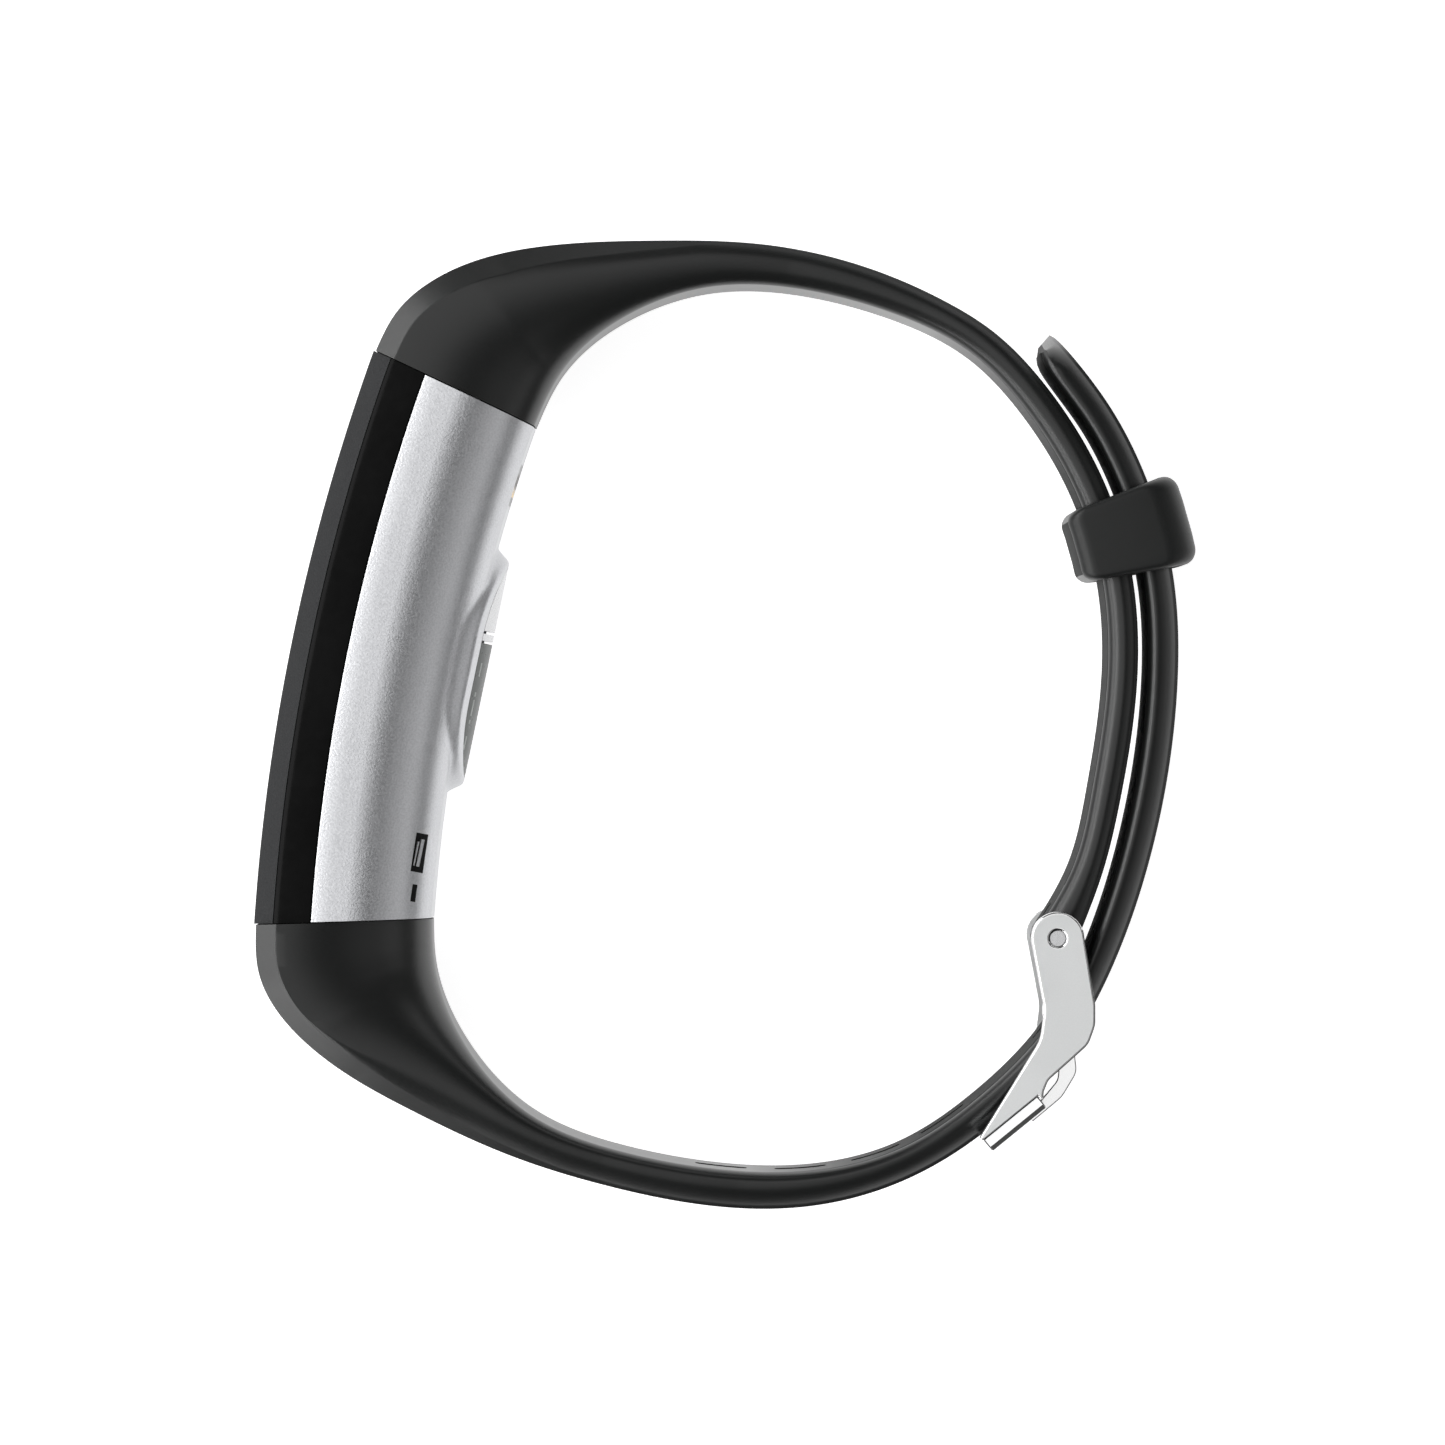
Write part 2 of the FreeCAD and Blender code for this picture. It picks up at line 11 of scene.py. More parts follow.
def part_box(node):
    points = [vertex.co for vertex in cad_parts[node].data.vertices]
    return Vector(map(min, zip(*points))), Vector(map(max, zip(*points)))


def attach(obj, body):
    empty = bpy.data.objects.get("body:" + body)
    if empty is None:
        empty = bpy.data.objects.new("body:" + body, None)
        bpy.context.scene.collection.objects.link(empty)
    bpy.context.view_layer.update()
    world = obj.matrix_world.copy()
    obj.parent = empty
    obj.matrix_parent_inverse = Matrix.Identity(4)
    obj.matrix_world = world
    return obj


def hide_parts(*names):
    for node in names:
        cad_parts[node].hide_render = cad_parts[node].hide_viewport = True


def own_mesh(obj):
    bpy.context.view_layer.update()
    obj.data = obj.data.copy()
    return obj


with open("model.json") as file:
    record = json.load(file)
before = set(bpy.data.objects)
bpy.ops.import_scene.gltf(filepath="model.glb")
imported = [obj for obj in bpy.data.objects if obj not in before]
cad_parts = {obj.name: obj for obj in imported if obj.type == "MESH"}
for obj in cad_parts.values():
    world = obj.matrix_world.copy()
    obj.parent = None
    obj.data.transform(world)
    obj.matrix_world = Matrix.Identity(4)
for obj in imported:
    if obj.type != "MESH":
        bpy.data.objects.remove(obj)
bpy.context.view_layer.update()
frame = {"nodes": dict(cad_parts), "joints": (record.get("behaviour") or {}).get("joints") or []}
NODES = frame["nodes"]
MM = 0.001

# ---------------- sizes, in millimetres
MID = 10.0
THROUGH = (-1, 21)  # heights that a cut right through the band runs between
CASE_HALF_WIDTH = 10.0
STRAP_HALF_WIDTH = 8.3
STRAP_THICKNESS = 2.1
CASE_FRONT_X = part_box("front_lens")[0].x / MM
CASE_FRONT_RADIUS = 143.7
LAYER_AXIS_X = CASE_FRONT_X + CASE_FRONT_RADIUS
CASE_HEIGHT = 12.15
LENS_DEPTH = 1.35
BEZEL_DEPTH = 3.95
CASE_HALF_LENGTH, CASE_END_X, CASE_END_SLOPE = 20.2, -28.7, 0.2385
FLANK_START, FLANK_SIDE, FLANK_RADIUS = 6.4, 4.106, 5.894  # arc between flank and back
FLANK_SHY = 0.02  # keeps the flank just inside the full width
BACK_HALF_WIDTH = 5.4
BEZEL_INSIDE, BEZEL_END_WALL = 7.7, 2.6
LEAN = math.sqrt(0.5)  # the rounded edge of the back leans at 45 degrees
LUG_REACH, LUG_RADIUS, LUG_HALF_LENGTH = 3.5, 1.9, 6.0
ISLAND_LENGTH, ISLAND_WIDTH, ISLAND_DRAFT = 19.4, 14.8, 3.9
ISLAND_FOOT_X, ISLAND_HEIGHT, ISLAND_CROWN_X, ISLAND_DOME_RADIUS = -19.2, 2.6, -16.8, 20.0
ISLAND_MARGIN = 0.5  # how far past its foot the case's surface may move
CROWN_ROUND, FOOT_ROUND = 0.25, 0.34
WINDOW_INSET, WINDOW_THICKNESS = 0.6, 0.9
LOOP_X, LOOP_Y = (c / MM for c in next(
    j["pos_m"][:2] for j in frame["joints"] if j["name"] == "keeper_slide"))
PIN_X, PIN_Y = (c / MM for c in next(
    j["pos_m"][:2] for j in frame["joints"] if j["name"] == "buckle_pivot"))
UPPER_OUTSIDE, TAIL_OUTSIDE = 28.7, 31.5
KEEPER_INSIDE, KEEPER_OUTSIDE, KEEPER_WALL, KEEPER_SIDE_WALL = 25.25, 33.35, 1.05, 1.35
KEEPER_ANGLE, KEEPER_LENGTH = 27.5, 5.7


# ---------------- mesh helpers
def closed_mesh(name, vertices, faces):
    """Mesh from points in millimetres, with its normals facing out."""
    mesh = bpy.data.meshes.new(name)
    mesh.from_pydata([tuple(c * MM for c in v) for v in vertices], [], faces)
    work = bmesh.new()
    work.from_mesh(mesh)
    bmesh.ops.recalc_face_normals(work, faces=work.faces)
    work.to_mesh(mesh)
    work.free()
    return mesh


def in_scene(name, data):
    item = bpy.data.objects.new(name, data)
    bpy.context.scene.collection.objects.link(item)
    return item


def shade(mesh, sharp):
    """Smooth shading, except across edges that turn by more than sharp degrees."""
    mesh.shade_smooth()
    mesh.set_sharp_from_angle(angle=math.radians(sharp))


def make_object(name, vertices, faces, body, material, sharp=35):
    mesh = closed_mesh(name, vertices, faces)
    shade(mesh, sharp)
    mesh.materials.append(material)
    piece = in_scene(name, mesh)
    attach(piece, body)
    return piece


def tool_object(vertices, faces):
    return in_scene("tool", closed_mesh("tool", vertices, faces))


def bake_modifiers(piece):
    """Turns the piece's modifiers into plain mesh."""
    bpy.context.view_layer.update()
    graph = bpy.context.evaluated_depsgraph_get()
    mesh = bpy.data.meshes.new_from_object(piece.evaluated_get(graph))
    piece.modifiers.clear()
    piece.data = mesh


def cut(piece, *tools, sharp=35):
    """Takes the tools' shapes out of the piece."""
    for tool in tools:
        step = piece.modifiers.new("cut", "BOOLEAN")
        step.operation = "DIFFERENCE"
        step.solver = "EXACT"
        step.object = tool
    bake_modifiers(piece)
    shade(piece.data, sharp)
    for tool in tools:
        bpy.data.objects.remove(tool)


def rings_to_faces(rings, count, closed=False):
    """Faces between successive rings of count points each, with flat ends unless closed."""
    faces = []
    last = rings if closed else rings - 1
    for i in range(last):
        a, b = i * count, (i + 1) % rings * count
        for j in range(count):
            k = (j + 1) % count
            faces.append((a + j, a + k, b + k, b + j))
    if not closed:
        faces.append(tuple(range(count))[::-1])
        faces.append(tuple(range((rings - 1) * count, rings * count)))
    return faces


def plain_prism(points, low, high):
    """Points and faces of a straight block over an outline in plan."""
    vertices = [(x, y, z) for z in (low, high) for x, y in points]
    return vertices, rings_to_faces(2, len(points))


def prism_tool(points, low, high):
    return tool_object(*plain_prism(points, low, high))


def rod_points(x, y, radius, count=48):
    return [(x + radius * math.cos(a), y + radius * math.sin(a))
            for a in np.linspace(0, 2 * math.pi, count, endpoint=False)]


def smooth_curve(points, count):
    """Natural cubic spline through the points, as count points evenly along its length."""
    p = np.array(points, float)
    t = np.concatenate([[0], np.cumsum(np.linalg.norm(np.diff(p, axis=0), axis=1))])
    h = np.diff(t)
    n = len(p)
    system, right = np.eye(n), np.zeros((n, 2))
    for i in range(1, n - 1):
        system[i, i - 1:i + 2] = h[i - 1], 2 * (h[i - 1] + h[i]), h[i]
        right[i] = 6 * ((p[i + 1] - p[i]) / h[i] - (p[i] - p[i - 1]) / h[i - 1])
    m = np.linalg.solve(system, right)

    def at(s):
        k = np.clip(np.searchsorted(t, s) - 1, 0, n - 2)
        a, b, w = (t[k + 1] - s)[:, None], (s - t[k])[:, None], h[k][:, None]
        return ((m[k] * a ** 3 + m[k + 1] * b ** 3) / (6 * w)
                + (p[k] / w - m[k] * w / 6) * a + (p[k + 1] / w - m[k + 1] * w / 6) * b)

    dense = at(np.linspace(0, t[-1], 4000))
    length = np.concatenate([[0], np.cumsum(np.linalg.norm(np.diff(dense, axis=0), axis=1))])
    even = np.linspace(0, length[-1], count)
    return np.stack([np.interp(even, length, dense[:, i]) for i in (0, 1)], axis=1)


def eased(x, low, high):
    t = np.clip((x - low) / (high - low), 0, 1)
    return t * t * (3 - 2 * t)


def arc_points(radius, angles):
    return [(LOOP_X + radius * math.cos(math.radians(a)),
             LOOP_Y + radius * math.sin(math.radians(a))) for a in angles]


# ---------------- materials
def new_material(name):
    material = bpy.data.materials.new(name)
    material.use_nodes = True
    tree = material.node_tree
    return material, tree, tree.nodes["Principled BSDF"]


def set_inputs(node, values):
    for label, value in values.items():
        node.inputs[label].default_value = value


def add(tree, kind, **values):
    """New node; a value is an input's name with spaces as underscores, or an attribute."""
    node = tree.nodes.new(kind)
    for key, value in values.items():
        label = key.replace("_", " ")
        if label in node.inputs:
            node.inputs[label].default_value = value
        else:
            setattr(node, key, value)
    return node


def mapped(tree, scale, stretch=(1, 1, 1)):
    """Object coordinates in millimetres times scale."""
    place = add(tree, "ShaderNodeTexCoord")
    mapping = add(tree, "ShaderNodeMapping")
    mapping.inputs["Scale"].default_value = [scale * s / MM for s in stretch]
    tree.links.new(place.outputs["Object"], mapping.inputs["Vector"])
    return mapping.outputs["Vector"]


def noise(tree, scale, detail=2.0, roughness=0.5, stretch=(1, 1, 1)):
    node = add(tree, "ShaderNodeTexNoise", Scale=1.0, Detail=detail, Roughness=roughness)
    tree.links.new(mapped(tree, scale, stretch), node.inputs["Vector"])
    return node.outputs["Fac"]


def ramp(tree, source, low, high, start=0.3, end=0.7):
    node = add(tree, "ShaderNodeMapRange")
    set_inputs(node, {"From Min": start, "From Max": end, "To Min": low, "To Max": high})
    tree.links.new(source, node.inputs["Value"])
    return node.outputs["Result"]


def tint(tree, source, dark, light, start=0.3, end=0.7):
    node = add(tree, "ShaderNodeValToRGB")
    node.color_ramp.elements[0].position = start
    node.color_ramp.elements[1].position = end
    node.color_ramp.elements[0].color = (*dark, 1)
    node.color_ramp.elements[1].color = (*light, 1)
    tree.links.new(source, node.inputs["Fac"])
    return node.outputs["Color"]


def bump(tree, shader, source, distance):
    node = add(tree, "ShaderNodeBump", Strength=1.0, Distance=distance * MM)
    tree.links.new(source, node.inputs["Height"])
    tree.links.new(node.outputs["Normal"], shader.inputs["Normal"])


def grained(name, dark, light, metallic, roughness, grain=4.0, depth=0.02, spread=0.05,
            specular=0.5, coat=0.0, cloud=0.12, stretch=(1, 1, 1), drift=0.4):
    """Surface whose colour drifts slowly and whose finish breaks up in a fine grain."""
    material, tree, shader = new_material(name)
    set_inputs(shader, {"Metallic": metallic, "Specular IOR Level": specular,
                        "Coat Weight": coat, "Coat Roughness": 0.06})
    fine = noise(tree, grain, 3.0, 0.6, stretch)
    slow = noise(tree, cloud, 2.0)
    mix = add(tree, "ShaderNodeMath", operation="MULTIPLY_ADD")
    mix.inputs[1].default_value = 0.6
    tree.links.new(fine, mix.inputs[0])
    tree.links.new(ramp(tree, slow, 0.2 - drift / 2, 0.2 + drift / 2), mix.inputs[2])
    tree.links.new(tint(tree, mix.outputs[0], dark, light), shader.inputs["Base Color"])
    tree.links.new(ramp(tree, fine, roughness - spread, roughness + spread),
                   shader.inputs["Roughness"])
    bump(tree, shader, fine, depth)
    return material


def grey(value):
    return value, value, value


# name, dark and light colour, metallic, roughness, grain, depth of the grain in millimetres
RUBBER = grained("strap_rubber", (0.0030, 0.0035, 0.0034), (0.0050, 0.0056, 0.0055), 0.0, 0.34, 9.0,
                 0.003, spread=0.04)
KEEPER_RUBBER = grained("keeper_rubber", (0.0040, 0.0046, 0.0045), (0.0070, 0.0077, 0.0075), 0.0,
                        0.42, 8.0, 0.005, specular=0.33)
BLASTED = grained("blasted_metal", (0.45, 0.455, 0.47), (0.70, 0.705, 0.725), 1.0, 0.36, 7.0, 0.022,
                  drift=0.04)
GLOSS = grained("gloss_black", grey(0.003), grey(0.005), 0.0, 0.12, 1.2, 0.0006, spread=0.03,
                specular=0.03)
LENS = grained("ground_glass_edge", (0.006, 0.006, 0.007), (0.014, 0.015, 0.016), 0.0, 0.40, 6.5,
               0.03, spread=0.10, specular=0.15, drift=0.05)
SATIN = grained("satin_steel", (0.66, 0.67, 0.67), (0.73, 0.74, 0.74), 1.0, 0.34, 12.0, 0.003,
                spread=0.04)
POLISHED = grained("polished_steel", grey(0.74), grey(0.80), 1.0, 0.10, 3.0, 0.001, spread=0.03)
# painted shade: near-black steel for rounded edges, standing in for dark reflections
PAINTED_SHADE_STEEL = grained("painted_shade_steel", grey(0.016), grey(0.03), 1.0, 0.16, 5.0, 0.002, spread=0.03)
ELECTRODE = grained("electrode_steel", (0.52, 0.52, 0.53), (0.60, 0.60, 0.61), 1.0, 0.28, 6.0,
                    0.003)
DARK_PLASTIC = grained("inner_plastic", (0.02, 0.02, 0.022), (0.05, 0.05, 0.053), 0.0, 0.55, 5.0,
                       0.02, spread=0.08)
PALE_PLASTIC = grained("pale_plastic", (0.36, 0.365, 0.37), (0.46, 0.465, 0.47), 0.0, 0.45, 5.0,
                       0.008)
SEAL = grained("seal_rubber", grey(0.012), grey(0.03), 0.0, 0.7, 4.0, 0.01)
BOARD = grained("board_green", (0.006, 0.07, 0.035), (0.012, 0.13, 0.065), 0.0, 0.35, 3.0, 0.01,
                coat=0.3)
CHIP = grained("chip_epoxy", (0.012, 0.012, 0.013), grey(0.03), 0.0, 0.5, 9.0, 0.01)
GOLD = grained("contact_gold", (0.80, 0.56, 0.22), (0.92, 0.70, 0.34), 1.0, 0.22, 5.0, 0.004)
POUCH = grained("cell_pouch", (0.48, 0.48, 0.49), (0.66, 0.66, 0.67), 0.9, 0.38, 0.8, 0.05,
                spread=0.08)
FOAM = grained("foam_grey", (0.10, 0.10, 0.105), (0.22, 0.22, 0.225), 0.0, 0.85, 6.0, 0.06)
AMBER = grained("film_amber", (0.42, 0.17, 0.03), (0.62, 0.30, 0.07), 0.0, 0.3, 2.0, 0.004)
HEAVY = grained("weight_metal", (0.30, 0.29, 0.28), (0.42, 0.41, 0.40), 1.0, 0.42, 8.0, 0.012)
COPPER = grained("copper_winding", (0.48, 0.18, 0.08), (0.72, 0.34, 0.18), 1.0, 0.3, 2.0, 0.03,
                 stretch=(1, 1, 8))
WHITE_PACKAGE = grained("led_package", (0.62, 0.63, 0.58), (0.82, 0.83, 0.78), 0.0, 0.4, 5.0, 0.008)
PANEL = grained("display_glass", (0.004, 0.004, 0.006), (0.010, 0.010, 0.014), 0.0, 0.12, 2.0,
                0.001)
CLEAR = grained("clear_adhesive", (0.35, 0.36, 0.37), (0.45, 0.46, 0.47), 0.0, 0.3, 2.0, 0.002)
WINDOW = grained("window_tint", (0.085, 0.095, 0.089), (0.11, 0.122, 0.115), 0.0, 0.30, 1.5, 0.001,
                 spread=0.04, specular=0.06)
WINDOW_MARK = grained("window_mark", (0.30, 0.325, 0.31), (0.37, 0.40, 0.38), 0.0, 0.3, 4.0, 0.001,
                      specular=0.1)
VENT_BLACK = grained("vent_black", grey(0.001), grey(0.004), 0.0, 0.6, 9.0, 0.01, specular=0.1)


MATTE_FROM_X, MATTE_TO_X = 8.0, 20.0  # millimetres


def inner_rubber_material():
    """Rubber of the face against the wrist: as the rest near the case, matte further round."""
    material, tree, shader = new_material("strap_inner_face")
    place = add(tree, "ShaderNodeTexCoord")
    split = add(tree, "ShaderNodeSeparateXYZ")
    tree.links.new(place.outputs["Object"], split.inputs["Vector"])
    for value, near, far in (("Roughness", 0.34, 0.70), ("Specular IOR Level", 0.5, 0.09)):
        tree.links.new(ramp(tree, split.outputs["X"], near, far,
                            MATTE_FROM_X * MM, MATTE_TO_X * MM), shader.inputs[value])
    fine = noise(tree, 9.0, 3.0, 0.6)
    tree.links.new(tint(tree, fine, (0.0035, 0.004, 0.0039), (0.0070, 0.0077, 0.0075)),
                   shader.inputs["Base Color"])
    bump(tree, shader, fine, 0.003)
    return material


INNER_RUBBER = inner_rubber_material()


# ---------------- cross-sections
def half_section(t, w, facet_depth, facet_run, edge, side_at, side_in):
    """Upper half of a section: (depth from the outer face, offset from the middle plane).

    A facet slopes from the outer face, the edge behind it curves up to the full half width
    at side_at, and the rest is a quarter ellipse down to the inner face.
    """
    flat = w - edge - facet_run
    rows = [(0.0, flat * f) for f in (0, 0.3, 0.6, 0.85, 0.97, 1.0)]
    rows += [(facet_depth * f, flat + facet_run * f) for f in (0.05, 0.5, 0.95, 1.0)]
    for f in (0.05, 0.15, 0.3, 0.45, 0.6, 0.8, 1.0):
        rows.append((facet_depth + (side_at - facet_depth) * f, w - edge * (1 - f) ** 2))
    for a in np.linspace(0, math.pi / 2, 25)[1:]:
        rows.append((side_at + (t - side_at) * math.sin(a), w - side_in * (1 - math.cos(a))))
    rows += [(t, (w - side_in) * f) for f in (0.9, 0.7, 0.4, 0.0)]
    return rows


def full_section(half):
    """Closed ring from an upper half that starts and ends on the middle plane."""
    return half + [(d, -s) for d, s in reversed(half[1:-1])]


RING_COUNT = len(full_section(half_section(12, 10, 1, 0.5, 0.2, 4, 4)))
INSIDE_FIRST = 17  # first section point of the curve down to the inner face


def case_end_y(x, inset=0.0):
    return CASE_HALF_LENGTH - inset - CASE_END_SLOPE * (x - CASE_END_X)


# ---------------- straps
UPPER_OUTER = [(-28.7, 20.2), (-27.9, 23.0), (-25.5, 26.1), (-22.2, 28.3), (-18.5, 29.8),
               (-11.1, 31.7), (-4.2, 32.9), (2.7, 32.9), (9.3, 31.6)]
UPPER_INNER = [(-16.96, 17.4), (-15.9, 21.4), (-12.1, 26.3), (-6.7, 29.4), (-0.4, 30.45),
               (5.8, 30.1)]
UPPER_ARC = (62, 50, 36, 22, 8)
UPPER_END_OUTER = [(28.02, 0.6), (27.85, -4.8), (PIN_X + 1.44, PIN_Y + 0.42)]
UPPER_END_INNER = [(25.95, 0.5), (25.75, -4.7), (PIN_X - 1.48, PIN_Y + 0.25)]
LOWER_OUTER = [(-28.7, -20.2), (-27.9, -23.3), (-23.2, -27.8), (-15.7, -30.6), (-8.3, -32.3),
               (-1.1, -33.0), (5.9, -32.9), (12.8, -31.5), (19.1, -28.2), (24.2, -23.2),
               (28.0, -17.0), (30.0, -10.3), (30.9, -2.4)]
LOWER_INNER = [(-16.96, -17.4), (-16.2, -20.3), (-12.7, -25.65), (-7.3, -29.3), (-0.8, -30.45),
               (5.8, -30.3), (12.2, -29.1), (18.0, -26.3), (22.6, -21.7), (26.25, -15.9),
               (28.1, -9.4), (28.82, -2.1)]
TAIL_ARC = (8, 20, 32, 44)
TAIL_TOP_ANGLE = 55.6
TAIL_NOSE = [(0, 51.5), (0.35, 54.2), (0.9, 55.4)]  # (rise from the inner face, angle)
SEAM = 0.06  # hairline gap between a strap and the end of the case
STRAP_HEAD_RADIUS, STRAP_HEAD_LEAN, STRAP_HEAD_STEPS = 1.5, 0.06, 12
TONGUE_SLOT_HALF_WIDTH, TONGUE_SLOT_TOP, TONGUE_SLOT_REACH = 1.25, 2.2, 4.0
BAR_BORE = 0.93
ROOT_THICKNESS = 11.5  # at and above this a section is shaped as at the case
THIN_ROLL, ROOT_EDGE, TAIL_ROUND = 1.1, 0.14, 2.8
WIDTH_AT_X = [(-28, CASE_HALF_WIDTH), (-24, 9.98), (-14, 9.35), (-2, 8.6), (8, STRAP_HALF_WIDTH)]
THIN_FACET, FACET_SLOPE = 0.22, 0.72  # facet depth on the thin strap; rise per depth
UPPER_FACETS = [(-28, 1.4), (-22, 1.6), (-14, 0.9), (-8.3, 0.28), (-3, THIN_FACET)]
LOWER_FACETS = [(-28, 1.4), (-20, 1.3), (-10, 0.6), (-4.7, 0.28), (0, THIN_FACET)]
HOLE_LENGTH, HOLE_WIDTH, HOLE_CORNER, HOLE_REACH = 3.6, 2.6, 0.6, 2.6
HOLE_PLACES = [(6.2, -30.0), (11.55, -28.95), (16.4, -26.9), (20.4, -23.7), (27.25, -16.0),
               (29.35, -10.4), (29.95, -4.9)]
HOLE_DIRECTIONS = [88, 74, 60, 46, 31, 13, 4]


FINE_STEPS, SPARSE = 2400, 4  # points tried along each edge; every fourth mate is kept


def paired(outer, inner, count):
    """Stations along a strap: each joins the two edges at the same slant to both."""
    a, b = smooth_curve(outer, FINE_STEPS), smooth_curve(inner, FINE_STEPS)
    ta, tb = np.gradient(a, axis=0), np.gradient(b, axis=0)
    ta /= np.linalg.norm(ta, axis=1)[:, None]
    tb /= np.linalg.norm(tb, axis=1)[:, None]
    picks, k = [], 0
    for i in np.linspace(0, len(a) - 1, count).astype(int):
        while k < len(b) - 1 and np.dot(ta[i] + tb[k], b[k] - a[i]) < 0:
            k += 1
        picks.append((i, k))
    index = np.array(picks)
    step = np.arange(count)
    mate = np.interp(step, step[::SPARSE], index[::SPARSE, 1])
    mate[0], mate[-1] = 0, len(b) - 1
    mate = np.maximum.accumulate(mate)
    whole = np.clip(mate.astype(int), 0, len(b) - 2)
    part = (mate - whole)[:, None]
    return a[index[:, 0]], b[whole] * (1 - part) + b[whole + 1] * part


def look_up(x, pairs):
    return float(np.interp(x, [a for a, _ in pairs], [b for _, b in pairs]))


def strap_rings(outer, inner, facets, thin_section, root_start, root_roll, tail=False):
    """Rings of points round a strap at every station.

    Facets are (x, facet depth) pairs. The thin section gives where the full width is reached,
    as a share of the thickness, and the drop to the outer edge; root_start is that share at
    the case, and root_roll how much narrower the strap's inner face is there.
    """
    thin_start, thin_edge = thin_section
    rings = []
    length = np.concatenate([[0], np.cumsum(np.linalg.norm(np.diff(outer, axis=0), axis=1))])
    for i, (o, n) in enumerate(zip(outer, inner)):
        across = n - o
        t = float(np.linalg.norm(across))
        across = across / t
        w, depth = STRAP_HALF_WIDTH, THIN_FACET
        if i < len(outer) / 2:
            w, depth = look_up(o[0], WIDTH_AT_X), look_up(o[0], facets)
        root = float(eased(t, STRAP_THICKNESS, ROOT_THICKNESS))
        if tail:
            left = length[-1] - length[i]
            w *= 0.03 + 0.97 * math.sqrt(1 - (1 - min(left / TAIL_ROUND, 1)) ** 2.5)
        half = half_section(t, w, min(depth, t * 0.4), min(FACET_SLOPE * depth, w * 0.3),
                            min(thin_edge + (ROOT_EDGE - thin_edge) * root, w * 0.3),
                            t * (thin_start + (root_start - thin_start) * root),
                            min(THIN_ROLL + (root_roll - THIN_ROLL) * root, w * 0.75))
        rings.append([(o[0] + across[0] * d, o[1] + across[1] * d, MID + s)
                      for d, s in full_section(half)])
    return rings


def rings_object(name, rings, body, material, sharp=30):
    vertices = [v for ring in rings for v in ring]
    return make_object(name, vertices, rings_to_faces(len(rings), len(rings[0])), body, material,
                       sharp)


def matte_inside(piece, count):
    """Gives the matte rubber to the steep faces beside and on the inner face."""
    piece.data.materials.append(INNER_RUBBER)
    for face in piece.data.polygons:
        spots = [v % count for v in face.vertices]
        inside = min(spots) >= INSIDE_FIRST and max(spots) <= count - INSIDE_FIRST
        if inside and abs(face.normal.z) < 0.25:
            face.material_index = 1


def shift_start(points, side):
    """Moves a strap's first point away from the end of the case by the seam."""
    length = math.hypot(1, CASE_END_SLOPE)
    x, y = points[0]
    return [(x + CASE_END_SLOPE / length * SEAM, y + side / length * SEAM)] + points[1:]


def build_upper_strap():
    outside, inside = UPPER_OUTSIDE, UPPER_OUTSIDE - STRAP_THICKNESS
    outer = shift_start(UPPER_OUTER, 1) + arc_points(outside, UPPER_ARC) + UPPER_END_OUTER
    inner = shift_start(UPPER_INNER, 1) + arc_points(inside, UPPER_ARC) + UPPER_END_INNER
    a, b = paired(outer, inner, 260)
    pin = np.array([PIN_X, PIN_Y])
    down = np.array([STRAP_HEAD_LEAN, -1.0])
    down /= np.linalg.norm(down)
    across = np.array([-down[1], down[0]])
    for f in np.linspace(0.1, 0.98, STRAP_HEAD_STEPS):  # the head closes round the sprung bar
        u = math.sin(f * math.pi / 2)
        reach = STRAP_HEAD_RADIUS * math.sqrt(1 - u * u) + 0.02
        a = np.vstack([a, pin + down * STRAP_HEAD_RADIUS * u + across * reach])
        b = np.vstack([b, pin + down * STRAP_HEAD_RADIUS * u - across * reach])
    rings = strap_rings(a, b, UPPER_FACETS, (0.46, 0.38), 0.30, 4.9)
    strap = rings_object("strap_upper_soft", rings, "tracker", RUBBER)
    matte_inside(strap, RING_COUNT)
    reach, top = TONGUE_SLOT_REACH, PIN_Y + TONGUE_SLOT_TOP
    slot = [(PIN_X - reach, PIN_Y - reach), (PIN_X + reach, PIN_Y - reach), (PIN_X + reach, top),
            (PIN_X - reach, top)]
    cut(strap, prism_tool(rod_points(PIN_X, PIN_Y, BAR_BORE), *THROUGH),
        prism_tool(slot, MID - TONGUE_SLOT_HALF_WIDTH, MID + TONGUE_SLOT_HALF_WIDTH), sharp=30)
    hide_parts("upper_strap")


def hole_tool(place, direction):
    """Rounded slot whose length lies along the strap."""
    corners = []
    for sx, sz, start in ((1, 1, 0), (-1, 1, 90), (-1, -1, 180), (1, -1, 270)):
        for a in range(start, start + 91, 15):
            corners.append((sx * (HOLE_LENGTH / 2 - HOLE_CORNER)
                            + HOLE_CORNER * math.cos(math.radians(a)),
                            sz * (HOLE_WIDTH / 2 - HOLE_CORNER)
                            + HOLE_CORNER * math.sin(math.radians(a))))
    angle = math.radians(-direction)
    out = (math.cos(angle), math.sin(angle))
    along = (-out[1], out[0])
    vertices = [(place[0] + out[0] * r + along[0] * u, place[1] + out[1] * r + along[1] * u,
                 MID + z) for r in (-HOLE_REACH, HOLE_REACH) for u, z in corners]
    return tool_object(vertices, rings_to_faces(2, len(corners)))


def build_lower_strap():
    outer = shift_start(LOWER_OUTER, -1) + arc_points(TAIL_OUTSIDE, TAIL_ARC + (TAIL_TOP_ANGLE,))
    inside = TAIL_OUTSIDE - STRAP_THICKNESS
    inner = shift_start(LOWER_INNER, -1) + arc_points(inside, TAIL_ARC)
    for rise, angle in TAIL_NOSE:
        inner += arc_points(inside + rise, (angle,))
    a, b = paired(outer, inner, 340)
    rings = strap_rings(a, b, LOWER_FACETS, (0.70, 0.85), 0.12, 7.4, tail=True)
    strap = rings_object("strap_lower_soft", rings, "tracker", RUBBER)
    matte_inside(strap, RING_COUNT)
    cut(strap, *[hole_tool(p, d) for p, d in zip(HOLE_PLACES, HOLE_DIRECTIONS)], sharp=30)
    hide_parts("lower_strap")


